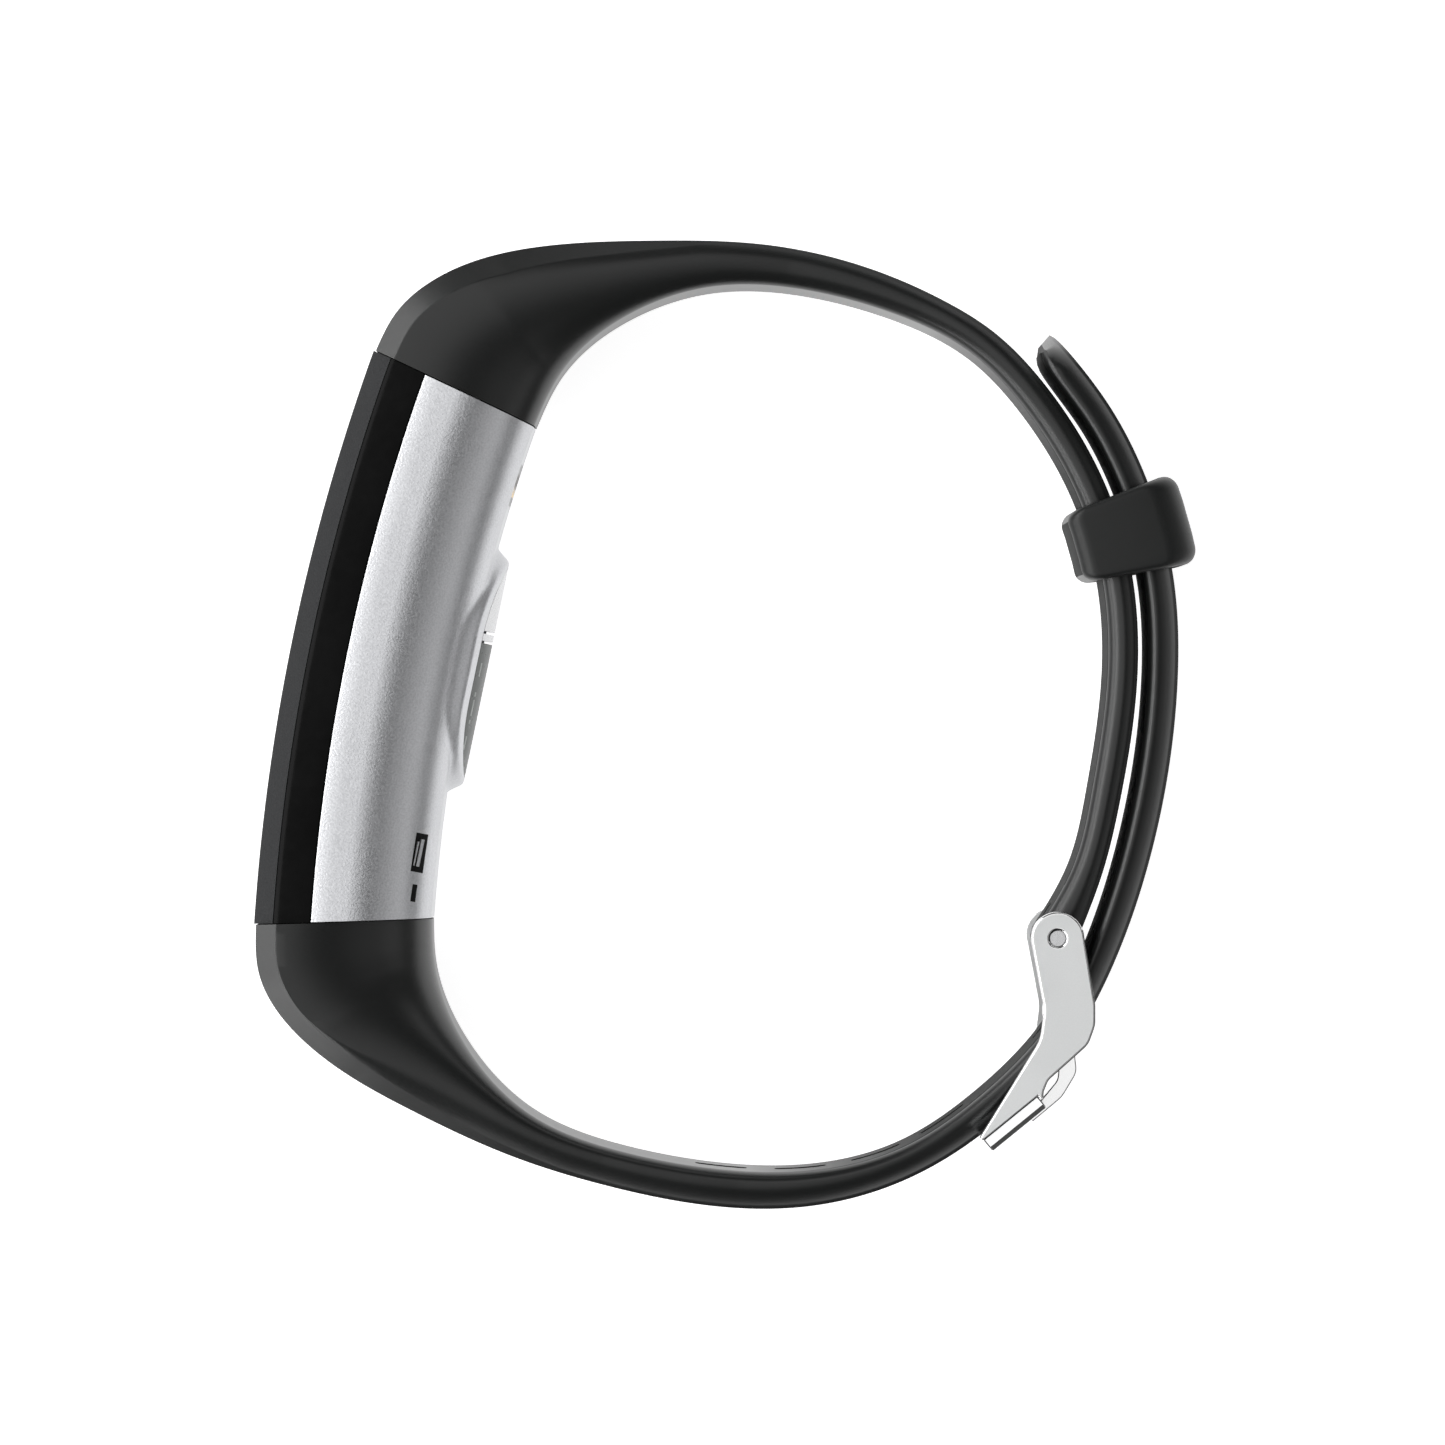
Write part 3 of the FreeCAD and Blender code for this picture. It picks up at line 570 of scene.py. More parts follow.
# ---------------- keeper
KEEPER_RIM, KEEPER_FLAT_RIM, KEEPER_INNER_RIM = 1.0, 0.4, 0.18
KEEPER_OUTER_CORNERS, KEEPER_INNER_CORNERS = (1.2, 2.2), (0.5, 0.5)
OUTER_BACKS = [0, 0.01, 0.04, 0.09, 0.16, 0.25, 0.36, 0.5, 0.66, 0.83, 1.0, 1.8]
INNER_BACKS = [0, 0.02, 0.06, 0.12, 0.18, 1.0]


def rounded_rectangle(low, high, half, low_radius, high_radius, count=9):
    """Outline (radius, height) of the keeper, cut along its length."""
    points = []
    for corner, top, start, r in ((high - high_radius, 1, 0, high_radius),
                                  (low + low_radius, 1, 90, low_radius),
                                  (low + low_radius, -1, 180, low_radius),
                                  (high - high_radius, -1, 270, high_radius)):
        for angle in np.radians(np.linspace(start, start + 90, count)):
            points.append((corner + r * math.cos(angle), top * (half - r) + r * math.sin(angle)))
    return points


def rim_inset(back, radius):
    """How far a rounded rim has fallen away at a distance back from its end."""
    if back >= radius:
        return 0.0
    return radius - math.sqrt(radius ** 2 - (radius - back) ** 2)


def build_keeper():
    """Loop with rounded rims; its walls follow the curve of the straps inside it."""
    middle = (KEEPER_INSIDE + KEEPER_OUTSIDE) / 2
    outer_rings, inner_rings = [], []
    for rings, backs in ((outer_rings, OUTER_BACKS), (inner_rings, INNER_BACKS)):
        stations = [(-1, b) for b in backs] + [(1, b) for b in reversed(backs)]
        for end, back in stations:
            turn = math.radians(KEEPER_ANGLE) + end * (KEEPER_LENGTH / 2 - back) / middle
            if rings is outer_rings:
                i, j = rim_inset(back, KEEPER_RIM), rim_inset(back, KEEPER_FLAT_RIM)
                outline = rounded_rectangle(KEEPER_INSIDE + i, KEEPER_OUTSIDE - i,
                                            CASE_HALF_WIDTH - j, *KEEPER_OUTER_CORNERS)
            else:
                i = rim_inset(back, KEEPER_INNER_RIM)
                outline = rounded_rectangle(
                    KEEPER_INSIDE + KEEPER_WALL - i * 0.1, KEEPER_OUTSIDE - KEEPER_WALL + i * 0.1,
                    CASE_HALF_WIDTH - KEEPER_SIDE_WALL + i, *KEEPER_INNER_CORNERS)
            rings.append([(LOOP_X + r * math.cos(turn), LOOP_Y + r * math.sin(turn), MID + z)
                          for r, z in outline])
    rings = outer_rings + inner_rings[::-1]
    keeper = make_object("keeper_soft", [v for ring in rings for v in ring],
                         rings_to_faces(len(rings), len(rings[0]), closed=True), "keeper",
                         KEEPER_RUBBER, 50)
    keeper.data.materials.append(INNER_RUBBER)
    turn = math.radians(KEEPER_ANGLE)
    for face in keeper.data.polygons:
        if face.normal.x * math.cos(turn) + face.normal.y * math.sin(turn) < -0.97:
            face.material_index = 1
    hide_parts("keeper_loop")


# ---------------- buckle
CHEEK_INNER, CHEEK_OUTER = 8.5, 9.85
BUCKLE_HEAD_RADIUS, CHEEK_BORE, CHEEK_EDGE = 1.83, 0.58, 0.2
CROSSBAR = [(27.38, -21.48), (24.35, -25.21), (23.45, -24.48), (26.48, -20.75)]
CROSSBAR_TURN = math.radians(-39.1)  # direction its outer face looks, below +X
CROSSBAR_OUT = Vector((math.cos(CROSSBAR_TURN), math.sin(CROSSBAR_TURN)))
PAINTED_SHADE_STRIP = 0.36  # width of the strip of painted shade beside that face
NOTCH_DEPTH, NOTCH_HALF_WIDTH = 0.55, 1.15
# end of the crossbar: (distance in from its outer face, offset from the middle plane)
CROSSBAR_END = [(0.0, 8.1), (0.05, 8.3), (0.30, 8.62), (0.38, 8.72), (0.94, 9.74), (1.03, 9.84),
                (1.05, 8.6), (1.19, 8.6)]
END_ROUND = 0.09  # rounding of the crossbar's two ends
TONGUE_HALF_WIDTH, TONGUE_HUB_RADIUS, TONGUE_BORE, TONGUE_EDGE = 0.85, 1.6, 0.95, 0.12
# outline points with the radius of each corner
CHEEK_OUTLINE = [(29.17, -13.85, 1.6), (29.45, -15.2, 1.6), (29.25, -16.6, 1.6),
                 (27.05, -19.58, 0.9), (26.9, -20.4, 0.9), (26.98, -21.0, 0.0),
                 (26.58, -20.83, 0.0), (23.55, -24.56, 0.0), (23.21, -24.46, 0.3),
                 (25.95, -17.0, 2.5), (25.8, -14.9, 2.5)]
TONGUE_OUTLINE = [(26.85, -10.9, 0.3), (26.72, -12.6, 2), (26.62, -14.2, 2), (27.42, -15.9, 2),
                  (28.73, -17.55, 1.2), (29.14, -18.8, 1.2), (28.48, -20.7, 2),
                  (26.82, -22.8, 0.12), (26.4, -22.5, 0.12), (27.25, -20.9, 1.5),
                  (27.93, -19.6, 1), (27.8, -18.55, 1), (26.85, -17.1, 2), (25.95, -15.3, 2),
                  (25.75, -13.4, 2), (24.7, -11.0, 0.3)]


def filleted(points):
    """Closed outline with every corner rounded to its own radius."""
    result = []
    n = len(points)
    for i, (x, y, r) in enumerate(points):
        if r == 0:
            result.append((x, y))
            continue
        p = Vector((x, y))
        a = Vector(points[i - 1][:2]) - p
        b = Vector(points[(i + 1) % n][:2]) - p
        half = a.angle(b) / 2
        reach = min(r / math.tan(half), a.length * 0.48, b.length * 0.48)
        r = reach * math.tan(half)
        middle = p + (a.normalized() + b.normalized()).normalized() * (r / math.sin(half))
        start, end = p + a.normalized() * reach - middle, p + b.normalized() * reach - middle
        sweep = start.angle_signed(end)
        steps = max(2, int(abs(math.degrees(sweep)) / 7))
        for k in range(steps + 1):
            turned = start.copy()
            turned.rotate(Matrix.Rotation(-sweep * k / steps, 2))
            result.append(tuple(middle + turned))
    return result


def bevelled(piece, width, material_index):
    """Rounds the piece's sharp edges and keeps its flat faces flat."""
    step = piece.modifiers.new("edges", "BEVEL")
    step.width = width * MM
    step.segments = 3
    step.limit_method = "ANGLE"
    step.angle_limit = math.radians(40)
    step.material = material_index
    step.use_clamp_overlap = True
    step.harden_normals = True
    piece.data.shade_smooth()
    bake_modifiers(piece)


def painted_shade_edges(piece, index):
    """Painted shade: the rounded edges that look away from the wrist get near-black steel, standing
    in for the dark reflections seen on them.
    """
    for face in piece.data.polygons:
        n = face.normal
        if 0.05 < abs(n.z) < 0.75 and 0.78 * n.x - 0.62 * n.y > 0.25:
            face.material_index = index


def near_outer_face(center):
    """Whether a face of the crossbar lies in its outer strip of painted shade."""
    return CROSSBAR_OUT.dot(Vector(CROSSBAR[0]) - center.xy / MM) < PAINTED_SHADE_STRIP


def notch_tool():
    """Seat for the tongue's tip, cut into the outer face of the crossbar."""
    a, b = Vector(CROSSBAR[0]), Vector(CROSSBAR[1])
    past = (a - b) * 0.2
    seat = CROSSBAR_OUT * NOTCH_DEPTH
    points = [a + CROSSBAR_OUT + past, b + CROSSBAR_OUT - past, b - seat - past, a - seat + past]
    return prism_tool([tuple(q) for q in points], MID - NOTCH_HALF_WIDTH, MID + NOTCH_HALF_WIDTH)


def head_arc(radius, start, end, count):
    """Arc round the sprung bar, as outline points that need no rounding."""
    return [(PIN_X + radius * math.cos(a), PIN_Y + radius * math.sin(a), 0)
            for a in np.radians(np.linspace(start, end, count))]


def build_buckle():
    outline = filleted(head_arc(BUCKLE_HEAD_RADIUS, 197, 16, 26) + CHEEK_OUTLINE)
    for name, low, high in (("near", MID + CHEEK_INNER, MID + CHEEK_OUTER),
                            ("far", MID - CHEEK_OUTER, MID - CHEEK_INNER)):
        cheek = make_object("buckle_cheek_" + name, *plain_prism(outline, low, high), "buckle",
                            SATIN)
        cheek.data.materials.append(POLISHED)
        # third slot: near-black steel for painted shade on edges
        cheek.data.materials.append(PAINTED_SHADE_STEEL)
        cut(cheek, prism_tool(rod_points(PIN_X, PIN_Y, CHEEK_BORE), *THROUGH))
        bevelled(cheek, CHEEK_EDGE, 1)
        # painted shade on the rounded edges that face +X and -Y
        painted_shade_edges(cheek, 2)
        if name == "near":
            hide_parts("buckle_frame")
    build_crossbar()


def build_crossbar():
    """Crossbar with shaped ends that close off both cheeks."""
    a, b = (Vector(q) for q in CROSSBAR[:2])
    soft = (b - a).normalized() * END_ROUND
    profile = [(u, z) for u, z in CROSSBAR_END] + [(u, -z) for u, z in reversed(CROSSBAR_END)]
    middle = CROSSBAR_END[-1][0] / 2
    in_u, in_z = 1 - END_ROUND / middle, 1 - END_ROUND / CHEEK_OUTER
    rings = []
    for place, ku, kz in ((a, in_u, in_z), (a + soft, 1, 1), (b - soft, 1, 1), (b, in_u, in_z)):
        rings.append([(*(place - CROSSBAR_OUT * (middle + (u - middle) * ku)), MID + z * kz)
                      for u, z in profile])
    bar = rings_object("buckle_crossbar", rings, "buckle", SATIN, 20)
    # second slot: near-black steel for painted shade
    bar.data.materials.append(PAINTED_SHADE_STEEL)
    for k, face in enumerate(bar.data.polygons):
        main = len(profile) <= k < 2 * len(profile)
        # painted shade: faces in the outer strip and on the rounded ends get near-black steel for
        # the dark reflection there
        edge = near_outer_face(face.center) if main else len(face.vertices) == 4
        face.material_index = int(edge and abs(face.normal.z) > 0.3)
    cut(bar, notch_tool(), sharp=20)


def build_tongue():
    outline = filleted(head_arc(TONGUE_HUB_RADIUS, 215, -35, 30) + TONGUE_OUTLINE)
    prism = plain_prism(outline, MID - TONGUE_HALF_WIDTH, MID + TONGUE_HALF_WIDTH)
    tongue = make_object("tongue_polished", *prism, "tongue", POLISHED)
    cut(tongue, prism_tool(rod_points(PIN_X, PIN_Y, TONGUE_BORE), *THROUGH))
    # second slot: near-black steel for painted shade on edges
    tongue.data.materials.append(PAINTED_SHADE_STEEL)
    bevelled(tongue, TONGUE_EDGE, 0)
    # painted shade on the rounded edges that face +X and -Y
    painted_shade_edges(tongue, 1)
    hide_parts("buckle_tongue")


# ---------------- springs
SPRING_WIRE_RADIUS, SPRING_COIL_RADIUS, SPRING_PITCH, TIP_TRAVEL = 0.11, 0.45, 0.85, 1.3


def coil_rings(x, y, first, last):
    """Rings round a helical wire from one height to another."""
    rings = []
    per_turn, around = 20, 10
    rise = SPRING_PITCH / (2 * math.pi)
    for z in np.linspace(first, last, int((last - first) / SPRING_PITCH * per_turn) + 1):
        turn = z / rise
        out = Vector((math.cos(turn), math.sin(turn), 0))
        along = Vector((-math.sin(turn) * SPRING_COIL_RADIUS, math.cos(turn) * SPRING_COIL_RADIUS,
                        rise)).normalized()
        side = along.cross(out)
        middle = Vector((x, y, z)) + out * SPRING_COIL_RADIUS
        rings.append([tuple(middle + (out * math.cos(a) + side * math.sin(a)) * SPRING_WIRE_RADIUS)
                      for a in np.linspace(0, 2 * math.pi, around, endpoint=False)])
    return rings


def build_springs():
    """Springs of the sprung bars, each in two halves that meet at the middle plane."""
    for bar in ("upper_bar", "lower_bar", "buckle_bar"):
        low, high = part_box(bar + "_spring")
        x, y = (low.x + high.x) / 2 / MM, (low.y + high.y) / 2 / MM
        for end, first, last in (("near", MID, high.z / MM - SPRING_WIRE_RADIUS),
                                 ("far", low.z / MM + SPRING_WIRE_RADIUS, MID)):
            coil = rings_object("%s_coil_%s" % (bar, end), coil_rings(x, y, first, last),
                                "tracker", POLISHED, 60)
            if end == "near":
                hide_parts(bar + "_spring")
            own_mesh(coil)


# ---------------- case
def layer_rings(ring, half_length_at, count):
    """Section points (depth, side) swept round the case's axis and trimmed to its ends."""
    rings = []
    for f in np.linspace(-1, 1, count):
        points = []
        for depth, side in ring:
            r = CASE_FRONT_RADIUS - depth
            y = f * half_length_at(depth)
            points.append((LAYER_AXIS_X - math.sqrt(r * r - y * y), y, MID + side))
        rings.append(points)
    return rings


def end_at(inset=0.0):
    """Half length of the case at a depth, where its sloping end cuts that layer."""
    def half_length(depth):
        y = CASE_HALF_LENGTH
        for _ in range(3):
            r = CASE_FRONT_RADIUS - depth
            y = case_end_y(LAYER_AXIS_X - math.sqrt(r * r - y * y), inset)
        return y
    return half_length


def case_half():
    """Upper half of the metal shell's section."""
    across = FLANK_RADIUS - FLANK_SHY
    half = [(BEZEL_DEPTH, s) for s in (0.0, 9.0, 9.72)]
    half += [(BEZEL_DEPTH + 0.04, 9.80), (BEZEL_DEPTH + 0.12, 9.835), (5.2, 9.91),
             (FLANK_START, FLANK_SIDE + across)]
    for a in np.linspace(0, math.acos((BACK_HALF_WIDTH - FLANK_SIDE) / FLANK_RADIUS), 60)[1:]:
        half.append((FLANK_START + FLANK_RADIUS * math.sin(a), FLANK_SIDE + across * math.cos(a)))
    return half + [(CASE_HEIGHT, s) for s in np.linspace(BACK_HALF_WIDTH - 0.15, 0, 36)]


def island_lift(x, y, side):
    """How far +X the case's surface moves to become the sensor island."""
    half_length, half_width = ISLAND_LENGTH / 2, ISLAND_WIDTH / 2
    run = max(0.0, abs(y) - (half_length - half_width))
    reach = half_width - math.hypot(run, side)  # inward from the foot of the flank
    if reach < -ISLAND_MARGIN:
        return 0.0
    slope = ISLAND_HEIGHT / (ISLAND_DRAFT / 2)
    flank = ISLAND_FOOT_X + reach * slope
    dome_x = ISLAND_CROWN_X - ISLAND_DOME_RADIUS
    dome = dome_x + math.sqrt(max(0.0, ISLAND_DOME_RADIUS ** 2 - side ** 2))
    top = blended(flank, dome, CROWN_ROUND, -1)
    return blended(top, x, FOOT_ROUND, 1) - x


def blended(a, b, radius, way):
    """Larger (way 1) or smaller (way -1) of two heights, rounded where they meet."""
    gap = max(radius - abs(a - b), 0.0) / radius
    return (max(a, b) if way > 0 else min(a, b)) + way * gap * gap * radius / 4


WINDOW_MARKS = [(0.15, 0.95), (-1.6, 0.3), (-2.55, 1.15), (-3.55, 0.3), (-5.05, 1.0)]  # y, length
MARK_SIDE, MARK_HALF_WIDTH, MARK_PROUD = 4.0, 0.25, 0.012
CONTACT_Y = 13.2
CONTACT_DROP = 0.22  # how far the pads' tops lie below the contacts' full reach
VENT, VENT_SIZE = (-19.0, -13.1, 7.4), (2.7, 1.3)  # x, y, offset from the middle; length, width
MIC, MIC_SIZE = (-19.0, -15.9, 7.4), (1.2, 0.5)
SHELL_END_GAP, CAVITY_END_WALL = 0.03, 1.9
CAVITY_HALF = [(BEZEL_DEPTH - 2, 0.0), (BEZEL_DEPTH - 2, 8.6), (8.6, 8.6), (11.0, 6.3), (11.0, 0.0)]
SENSOR_OPENING = (14.2, 7.6, -20.5, -17.0)  # length, width, and the X it runs between
HOLDER_BOX = ((-21, CONTACT_Y - 1.5, MID - 3.7), (-16, CONTACT_Y + 1.5, MID + 3.7))
POCKET_GAP = 0.05


def build_case():
    ring = full_section(case_half())
    rings = layer_rings(ring, end_at(SHELL_END_GAP), 281)
    for points in rings:
        for k, (x, y, z) in enumerate(points):
            if ring[k][0] > FLANK_START and abs(y) < ISLAND_LENGTH / 2 + ISLAND_MARGIN:
                points[k] = (x + island_lift(x, y, z - MID), y, z)
    case = rings_object("case_shell", rings, "tracker", BLASTED, 40)
    case.data.materials.append(POLISHED)
    cavity_rings = layer_rings(full_section(CAVITY_HALF), end_at(CAVITY_END_WALL), 21)
    cavity = tool_object([v for r in cavity_rings for v in r],
                         rings_to_faces(len(cavity_rings), len(cavity_rings[0])))
    cut(case, cavity, island_pocket(), stadium_tool(*SENSOR_OPENING), box_tool(*HOLDER_BOX),
        plug_tool(VENT, *VENT_SIZE), plug_tool(MIC, *MIC_SIZE))
    for side in (1, -1):
        build_lug(side)
    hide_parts("metal_case")


def box_tool(low, high):
    points = [(low[0], low[1]), (high[0], low[1]), (high[0], high[1]), (low[0], high[1])]
    return prism_tool(points, low[2], high[2])


def plug_tool(place, length, width, depth=2.0):
    """Small block across the rounded edge of the back, leaning at 45 degrees."""
    vertices = []
    for y in (-length / 2, length / 2):
        for u, v in ((-depth / 2, -width / 2), (depth / 2, -width / 2), (depth / 2, width / 2),
                     (-depth / 2, width / 2)):
            vertices.append((place[0] + (u - v) * LEAN, place[1] + y,
                             MID + place[2] + (u + v) * LEAN))
    return tool_object(vertices, rings_to_faces(2, 4))


def stadium_points(length, width, count=24):
    """Outline (y, z) of a stadium whose length lies along Y."""
    r = width / 2
    points = []
    for middle, start in ((length / 2 - r, 0), (r - length / 2, 180)):
        for angle in np.radians(np.linspace(start, start + 180, count)):
            points.append((middle + r * math.sin(angle), r * math.cos(angle)))
    return points


def stadium_tool(length, width, *places):
    vertices = [(x, y, MID + z) for x in places for y, z in stadium_points(length, width)]
    return tool_object(vertices, rings_to_faces(2, len(vertices) // 2))


def island_pocket():
    """Recess in the top of the island that holds the window and the electrode."""
    inset = ISLAND_DRAFT + WINDOW_INSET - 2 * POCKET_GAP
    outline = stadium_points(ISLAND_LENGTH - inset, ISLAND_WIDTH - inset)
    dome_x = ISLAND_CROWN_X - ISLAND_DOME_RADIUS
    vertices = []
    for drop in (WINDOW_THICKNESS, -0.6):
        r = ISLAND_DOME_RADIUS - drop
        vertices += [(dome_x + math.sqrt(r * r - z * z), y, MID + z) for y, z in outline]
    return tool_object(vertices, rings_to_faces(2, len(outline)))


def pane(name, low_y, high_y, material, low_side=None, high_side=None, proud=0.0):
    """Slice of the island's domed top layer with softened long edges."""
    inset = ISLAND_DRAFT + WINDOW_INSET
    half_length, half_width = (ISLAND_LENGTH - inset) / 2, (ISLAND_WIDTH - inset) / 2
    dome_x = ISLAND_CROWN_X - ISLAND_DOME_RADIUS
    rings = []
    for f in np.linspace(0, 1, 41):
        y = low_y + (high_y - low_y) * f
        run = max(0.0, abs(y) - (half_length - half_width))
        w = math.sqrt(max(0.0, half_width ** 2 - run * run))
        a = -w if low_side is None else max(low_side, -w)
        b = w if high_side is None else min(high_side, w)
        if b - a < 0.1:
            continue
        soft = min(0.05, (b - a) * 0.2)
        sides = [a] + list(np.linspace(a + soft, b - soft, 25)) + [b]
        ring = []
        for k, side in enumerate(sides):
            drop = 0.04 - proud if k in (0, len(sides) - 1) else -proud
            r = ISLAND_DOME_RADIUS - drop
            ring.append((dome_x + math.sqrt(r * r - side * side), y, MID + side))
        r = ISLAND_DOME_RADIUS - (WINDOW_THICKNESS if low_side is None else 0.2)
        ring += [(dome_x + math.sqrt(r * r - side * side), y, MID + side)
                 for side in reversed(sides)]
        rings.append(ring)
    return rings_object(name, rings, "tracker", material, 30)


def build_sensor():
    for name, low, high, material, node, slot in (
            ("window_glass", -7.96, 2.0, WINDOW, "sensor_window", "window_tint"),
            ("divider_strip", 2.16, 2.66, ELECTRODE, "sensor_divider", "electrode_metal"),
            ("electrode_cap", 2.84, 8.16, ELECTRODE, "electrode_plate", "electrode_metal")):
        piece = pane(name, low, high, material)
        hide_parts(node)
    for k, (y, length) in enumerate(WINDOW_MARKS):
        for way, side in (("near", MARK_SIDE), ("far", -MARK_SIDE)):
            mark = pane("window_mark_%s_%d" % (way, k + 1), y - length / 2, y + length / 2,
                        WINDOW_MARK, side - MARK_HALF_WIDTH, side + MARK_HALF_WIDTH, MARK_PROUD)


def build_contacts():
    """Charging contacts: round pads with softened rims, just proud of their holder."""
    for name, side in (("one", 1), ("two", -1)):
        node = "charge_contact_" + name
        low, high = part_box(node)
        y, z = (low.y + high.y) / 2 / MM, (low.z + high.z) / 2 / MM
        radius, top = (high.y - low.y) / 2 / MM, high.x / MM - CONTACT_DROP
        profile = [(low.x / MM, radius), (top - 0.08, radius), (top - 0.03, radius - 0.03),
                   (top, radius - 0.1), (top, radius * 0.6)]
        rings = [[(x, y + r * math.cos(a), z + r * math.sin(a))
                  for a in np.linspace(0, 2 * math.pi, 48, endpoint=False)] for x, r in profile]
        pad = rings_object("contact_pad_" + name, rings, "tracker", GOLD, 50)
        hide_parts(node)


def build_vent_grille():
    """Slotted plate inside the vent's opening."""
    x, y, side = VENT
    for name, low, high, wide in (("inner", -0.95, 0.95, 0.30), ("outer", -1.05, 0.75, 0.12)):
        across = 0.05 if name == "inner" else 0.42
        vertices = []
        for yy in (low, high):
            for u, v in ((0.2, across - wide / 2), (0.62, across - wide / 2),
                         (0.62, across + wide / 2), (0.2, across + wide / 2)):
                vertices.append((x + (u - v) * LEAN, y + yy, MID + side + (u + v) * LEAN))
        plate = make_object("vent_bar_" + name, vertices, rings_to_faces(2, 4), "tracker",
                            BLASTED, 30)


def build_lug(side):
    """Round-ended lug that holds a strap's sprung bar, hidden inside the strap."""
    tube = "upper_bar_tube" if side > 0 else "lower_bar_tube"
    low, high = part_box(tube)
    x, y = (low.x + high.x) / 2 / MM, (low.y + high.y) / 2 / MM
    center = Vector((x, y))
    out = Vector((CASE_END_SLOPE, side)).normalized()
    along = Vector((out.y, -out.x))
    turned = [along * math.cos(a) + out * math.sin(a) for a in np.linspace(0, math.pi, 17)]
    points = [center - out * LUG_REACH + along * LUG_RADIUS]
    points += [center + way * LUG_RADIUS for way in turned]
    points.append(center - out * LUG_REACH - along * LUG_RADIUS)
    block = plain_prism(points, MID - LUG_HALF_LENGTH, MID + LUG_HALF_LENGTH)
    lug = make_object("case_lug_" + ("upper" if side > 0 else "lower"), *block, "tracker",
                      BLASTED, 30)
    cut(lug, prism_tool(rod_points(x, y, BAR_BORE), *THROUGH), sharp=30)


def build_front():
    lens_half = [(0.0, s) for s in np.linspace(0, 7.6, 12)] + [
        (0.0, 7.82), (0.03, 7.93), (0.09, 8.0), (LENS_DEPTH - 0.08, 9.24),
        (LENS_DEPTH - 0.02, 9.28), (LENS_DEPTH, 9.2), (LENS_DEPTH, 6.0), (LENS_DEPTH, 0.0)]
    lens = rings_object("cover_glass", layer_rings(full_section(lens_half), end_at(0.0), 121),
                        "tracker", LENS, 25)
    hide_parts("front_lens")
    ring = [(LENS_DEPTH, BEZEL_INSIDE), (LENS_DEPTH, 9.2), (LENS_DEPTH + 0.03, 9.30),
            (LENS_DEPTH + 0.1, 9.34), (2.1, 9.56), (3.0, 9.74), (BEZEL_DEPTH - 0.1, 9.84),
            (BEZEL_DEPTH - 0.03, 9.82), (BEZEL_DEPTH, 9.76), (BEZEL_DEPTH, BEZEL_INSIDE)]
    for name, sign in (("near", 1), ("far", -1)):
        rail = [(d, s * sign) for d, s in ring]
        side = rings_object("bezel_rail_" + name, layer_rings(rail, end_at(0.0), 121),
                            "tracker", GLOSS, 30)
        if sign == 1:
            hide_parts("front_bezel")
    for name, sign in (("upper", 1), ("lower", -1)):
        low, high = end_at(BEZEL_END_WALL), end_at(0.0)
        cross = [(LENS_DEPTH, -BEZEL_INSIDE), (LENS_DEPTH, BEZEL_INSIDE),
                 (BEZEL_DEPTH, BEZEL_INSIDE), (BEZEL_DEPTH, -BEZEL_INSIDE)]
        rings = []
        for f in np.linspace(0, 1, 5):
            rings.append([(LAYER_AXIS_X - math.sqrt((CASE_FRONT_RADIUS - d) ** 2 - y * y), y,
                           MID + s) for d, s in cross
                          for y in [sign * (low(d) * (1 - f) + high(d) * f)]])
        bar = rings_object("bezel_end_" + name, rings, "tracker", GLOSS, 30)


# ---------------- carried-over CAD nodes
def dress(material, *names):
    for name in names:
        mesh = NODES[name].data
        mesh.materials.clear()
        mesh.materials.append(material)


def dress_nodes():
    dress(SEAL, "bezel_gasket", "motor_cradle")
    dress(CLEAR, "lens_adhesive")
    dress(PANEL, "display_panel", "light_detector")
    dress(AMBER, "touch_film", "display_flex")
    dress(DARK_PLASTIC, "mid_frame", "light_barrier")
    dress(PALE_PLASTIC, "contact_holder")
    dress(VENT_BLACK, "pressure_vent", "microphone_mesh")
    dress(BOARD, "main_board", "sensor_board")
    dress(CHIP, "processor", "memory_chip", "radio_chip", "motion_sensor")
    dress(GOLD, "radio_antenna", "charge_contact_one", "charge_contact_two")
    dress(POUCH, "battery")
    dress(FOAM, "battery_pad")
    dress(COPPER, "motor_armature")
    dress(HEAVY, "motor_weight")
    dress(POLISHED, "board_screws", "motor_can", "motor_shaft")
    dress(WHITE_PACKAGE, "sensor_led_one", "sensor_led_two")
    dress(ELECTRODE, "electrode_plate", "sensor_divider")
    dress(WINDOW, "sensor_window")
    dress(SATIN, "buckle_frame", "buckle_tongue")
    for bar in ("upper_bar", "lower_bar", "buckle_bar"):
        dress(POLISHED, bar + "_tube", bar + "_spring")
        dress(ELECTRODE, bar + "_tip_near", bar + "_tip_far")


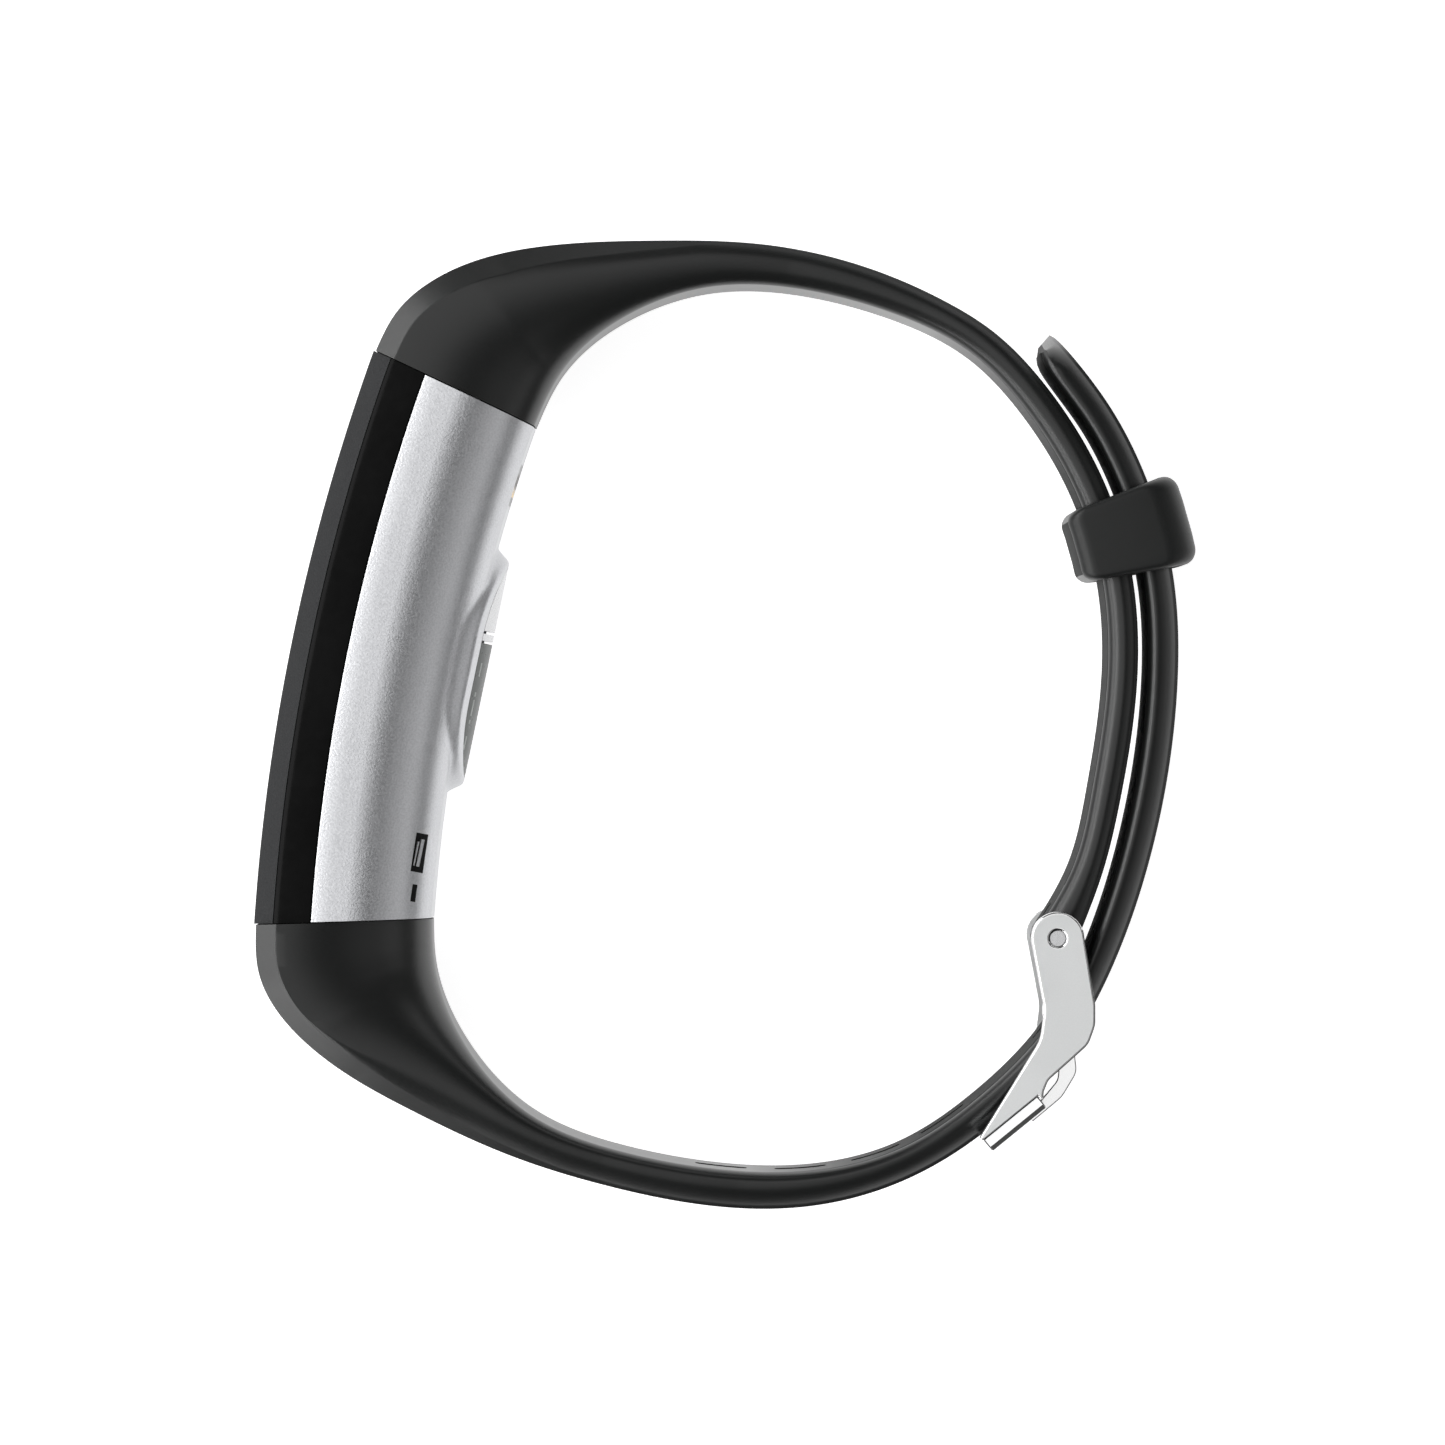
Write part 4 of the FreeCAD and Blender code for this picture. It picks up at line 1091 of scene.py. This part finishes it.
# ---------------- stage, light, camera
VIEW_WIDTH = 99.66  # millimetres across the view at the upper edge of the band
VIEW_ROLL = math.radians(11.79)
VIEW_DISTANCE = 0.9495
SENSOR = 36.0
WORLD_STRENGTH = 0.10
FLOOR_REACH, FLOOR_DROP, FLOOR_GLOW = 4.0, 0.0002, 0.85
LIGHTS = {  # place, target, size in metres; power in watts
    "overhead": ((-0.9, 0.05, 1.3), (-0.9, 0.05, 0), (2.2, 1.7), 12.8),
    "left_strip": ((-1.30, -0.2, 1.04), (0, 0, 0.01), (3.2, 0.42), 24.0),
    "left_low": ((-1.9, 0.0, 0.45), (0, 0, 0.01), (3.2, 0.5), 25.0),
    "front_low": ((-1.1, -1.6, 0.40), (0, 0, 0.01), (1.4, 0.4), 9.0),
    "right_low": ((1.6, 0.0, 0.42), (0, 0, 0.01), (2.2, 0.5), 2.6),
    "right_fill": ((1.5, 0.0, 1.2), (0, 0, 0.01), (2.4, 1.2), 3.6),
    "back_low": ((0.3, 1.7, 0.45), (0, 0, 0.01), (1.6, 0.5), 3.0),
}


def build_stage():
    floor_material, tree, shader = new_material("stage_floor")
    set_inputs(shader, {"Base Color": (0.8, 0.8, 0.8, 1), "Roughness": 0.9,
                        "Specular IOR Level": 0.0, "Emission Color": (1, 1, 1, 1),
                        "Emission Strength": FLOOR_GLOW})
    mesh = bpy.data.meshes.new("floor")
    corners = [(-1, -1), (1, -1), (1, 1), (-1, 1)]
    mesh.from_pydata([(x * FLOOR_REACH, y * FLOOR_REACH, 0) for x, y in corners], [],
                     [(0, 1, 2, 3)])
    mesh.materials.append(floor_material)
    floor = in_scene("floor", mesh)
    floor.location.z = -FLOOR_DROP


def build_lights():
    world = bpy.data.worlds.new("studio")
    bpy.context.scene.world = world
    world.use_nodes = True
    set_inputs(world.node_tree.nodes["Background"], {"Color": (1, 1, 1, 1),
                                                     "Strength": WORLD_STRENGTH})
    for name, (place, target, size, power) in LIGHTS.items():
        light = bpy.data.lights.new(name, "AREA")
        light.shape = "RECTANGLE"
        light.size, light.size_y = size
        light.energy = power
        direction = Vector(target) - Vector(place)
        in_scene(name, light).matrix_world = (
            Matrix.Translation(place) @ direction.to_track_quat("-Z", "Y").to_matrix().to_4x4())


def build_camera():
    data = bpy.data.cameras.new("camera")
    data.sensor_width = SENSOR
    data.lens = SENSOR * VIEW_DISTANCE / (VIEW_WIDTH * MM)
    data.clip_start, data.clip_end = 0.05, 20
    camera = in_scene("camera", data)
    camera.location = (0, 0, 2 * MID * MM + VIEW_DISTANCE)
    camera.rotation_euler = (0, 0, VIEW_ROLL)
    bpy.context.scene.camera = camera
    bpy.context.scene.view_settings.view_transform = "Standard"


build_upper_strap()
build_lower_strap()
build_keeper()
build_buckle()
build_tongue()
build_springs()
build_case()
build_sensor()
build_contacts()
build_vent_grille()
build_front()
dress_nodes()
build_stage()
build_lights()
build_camera()
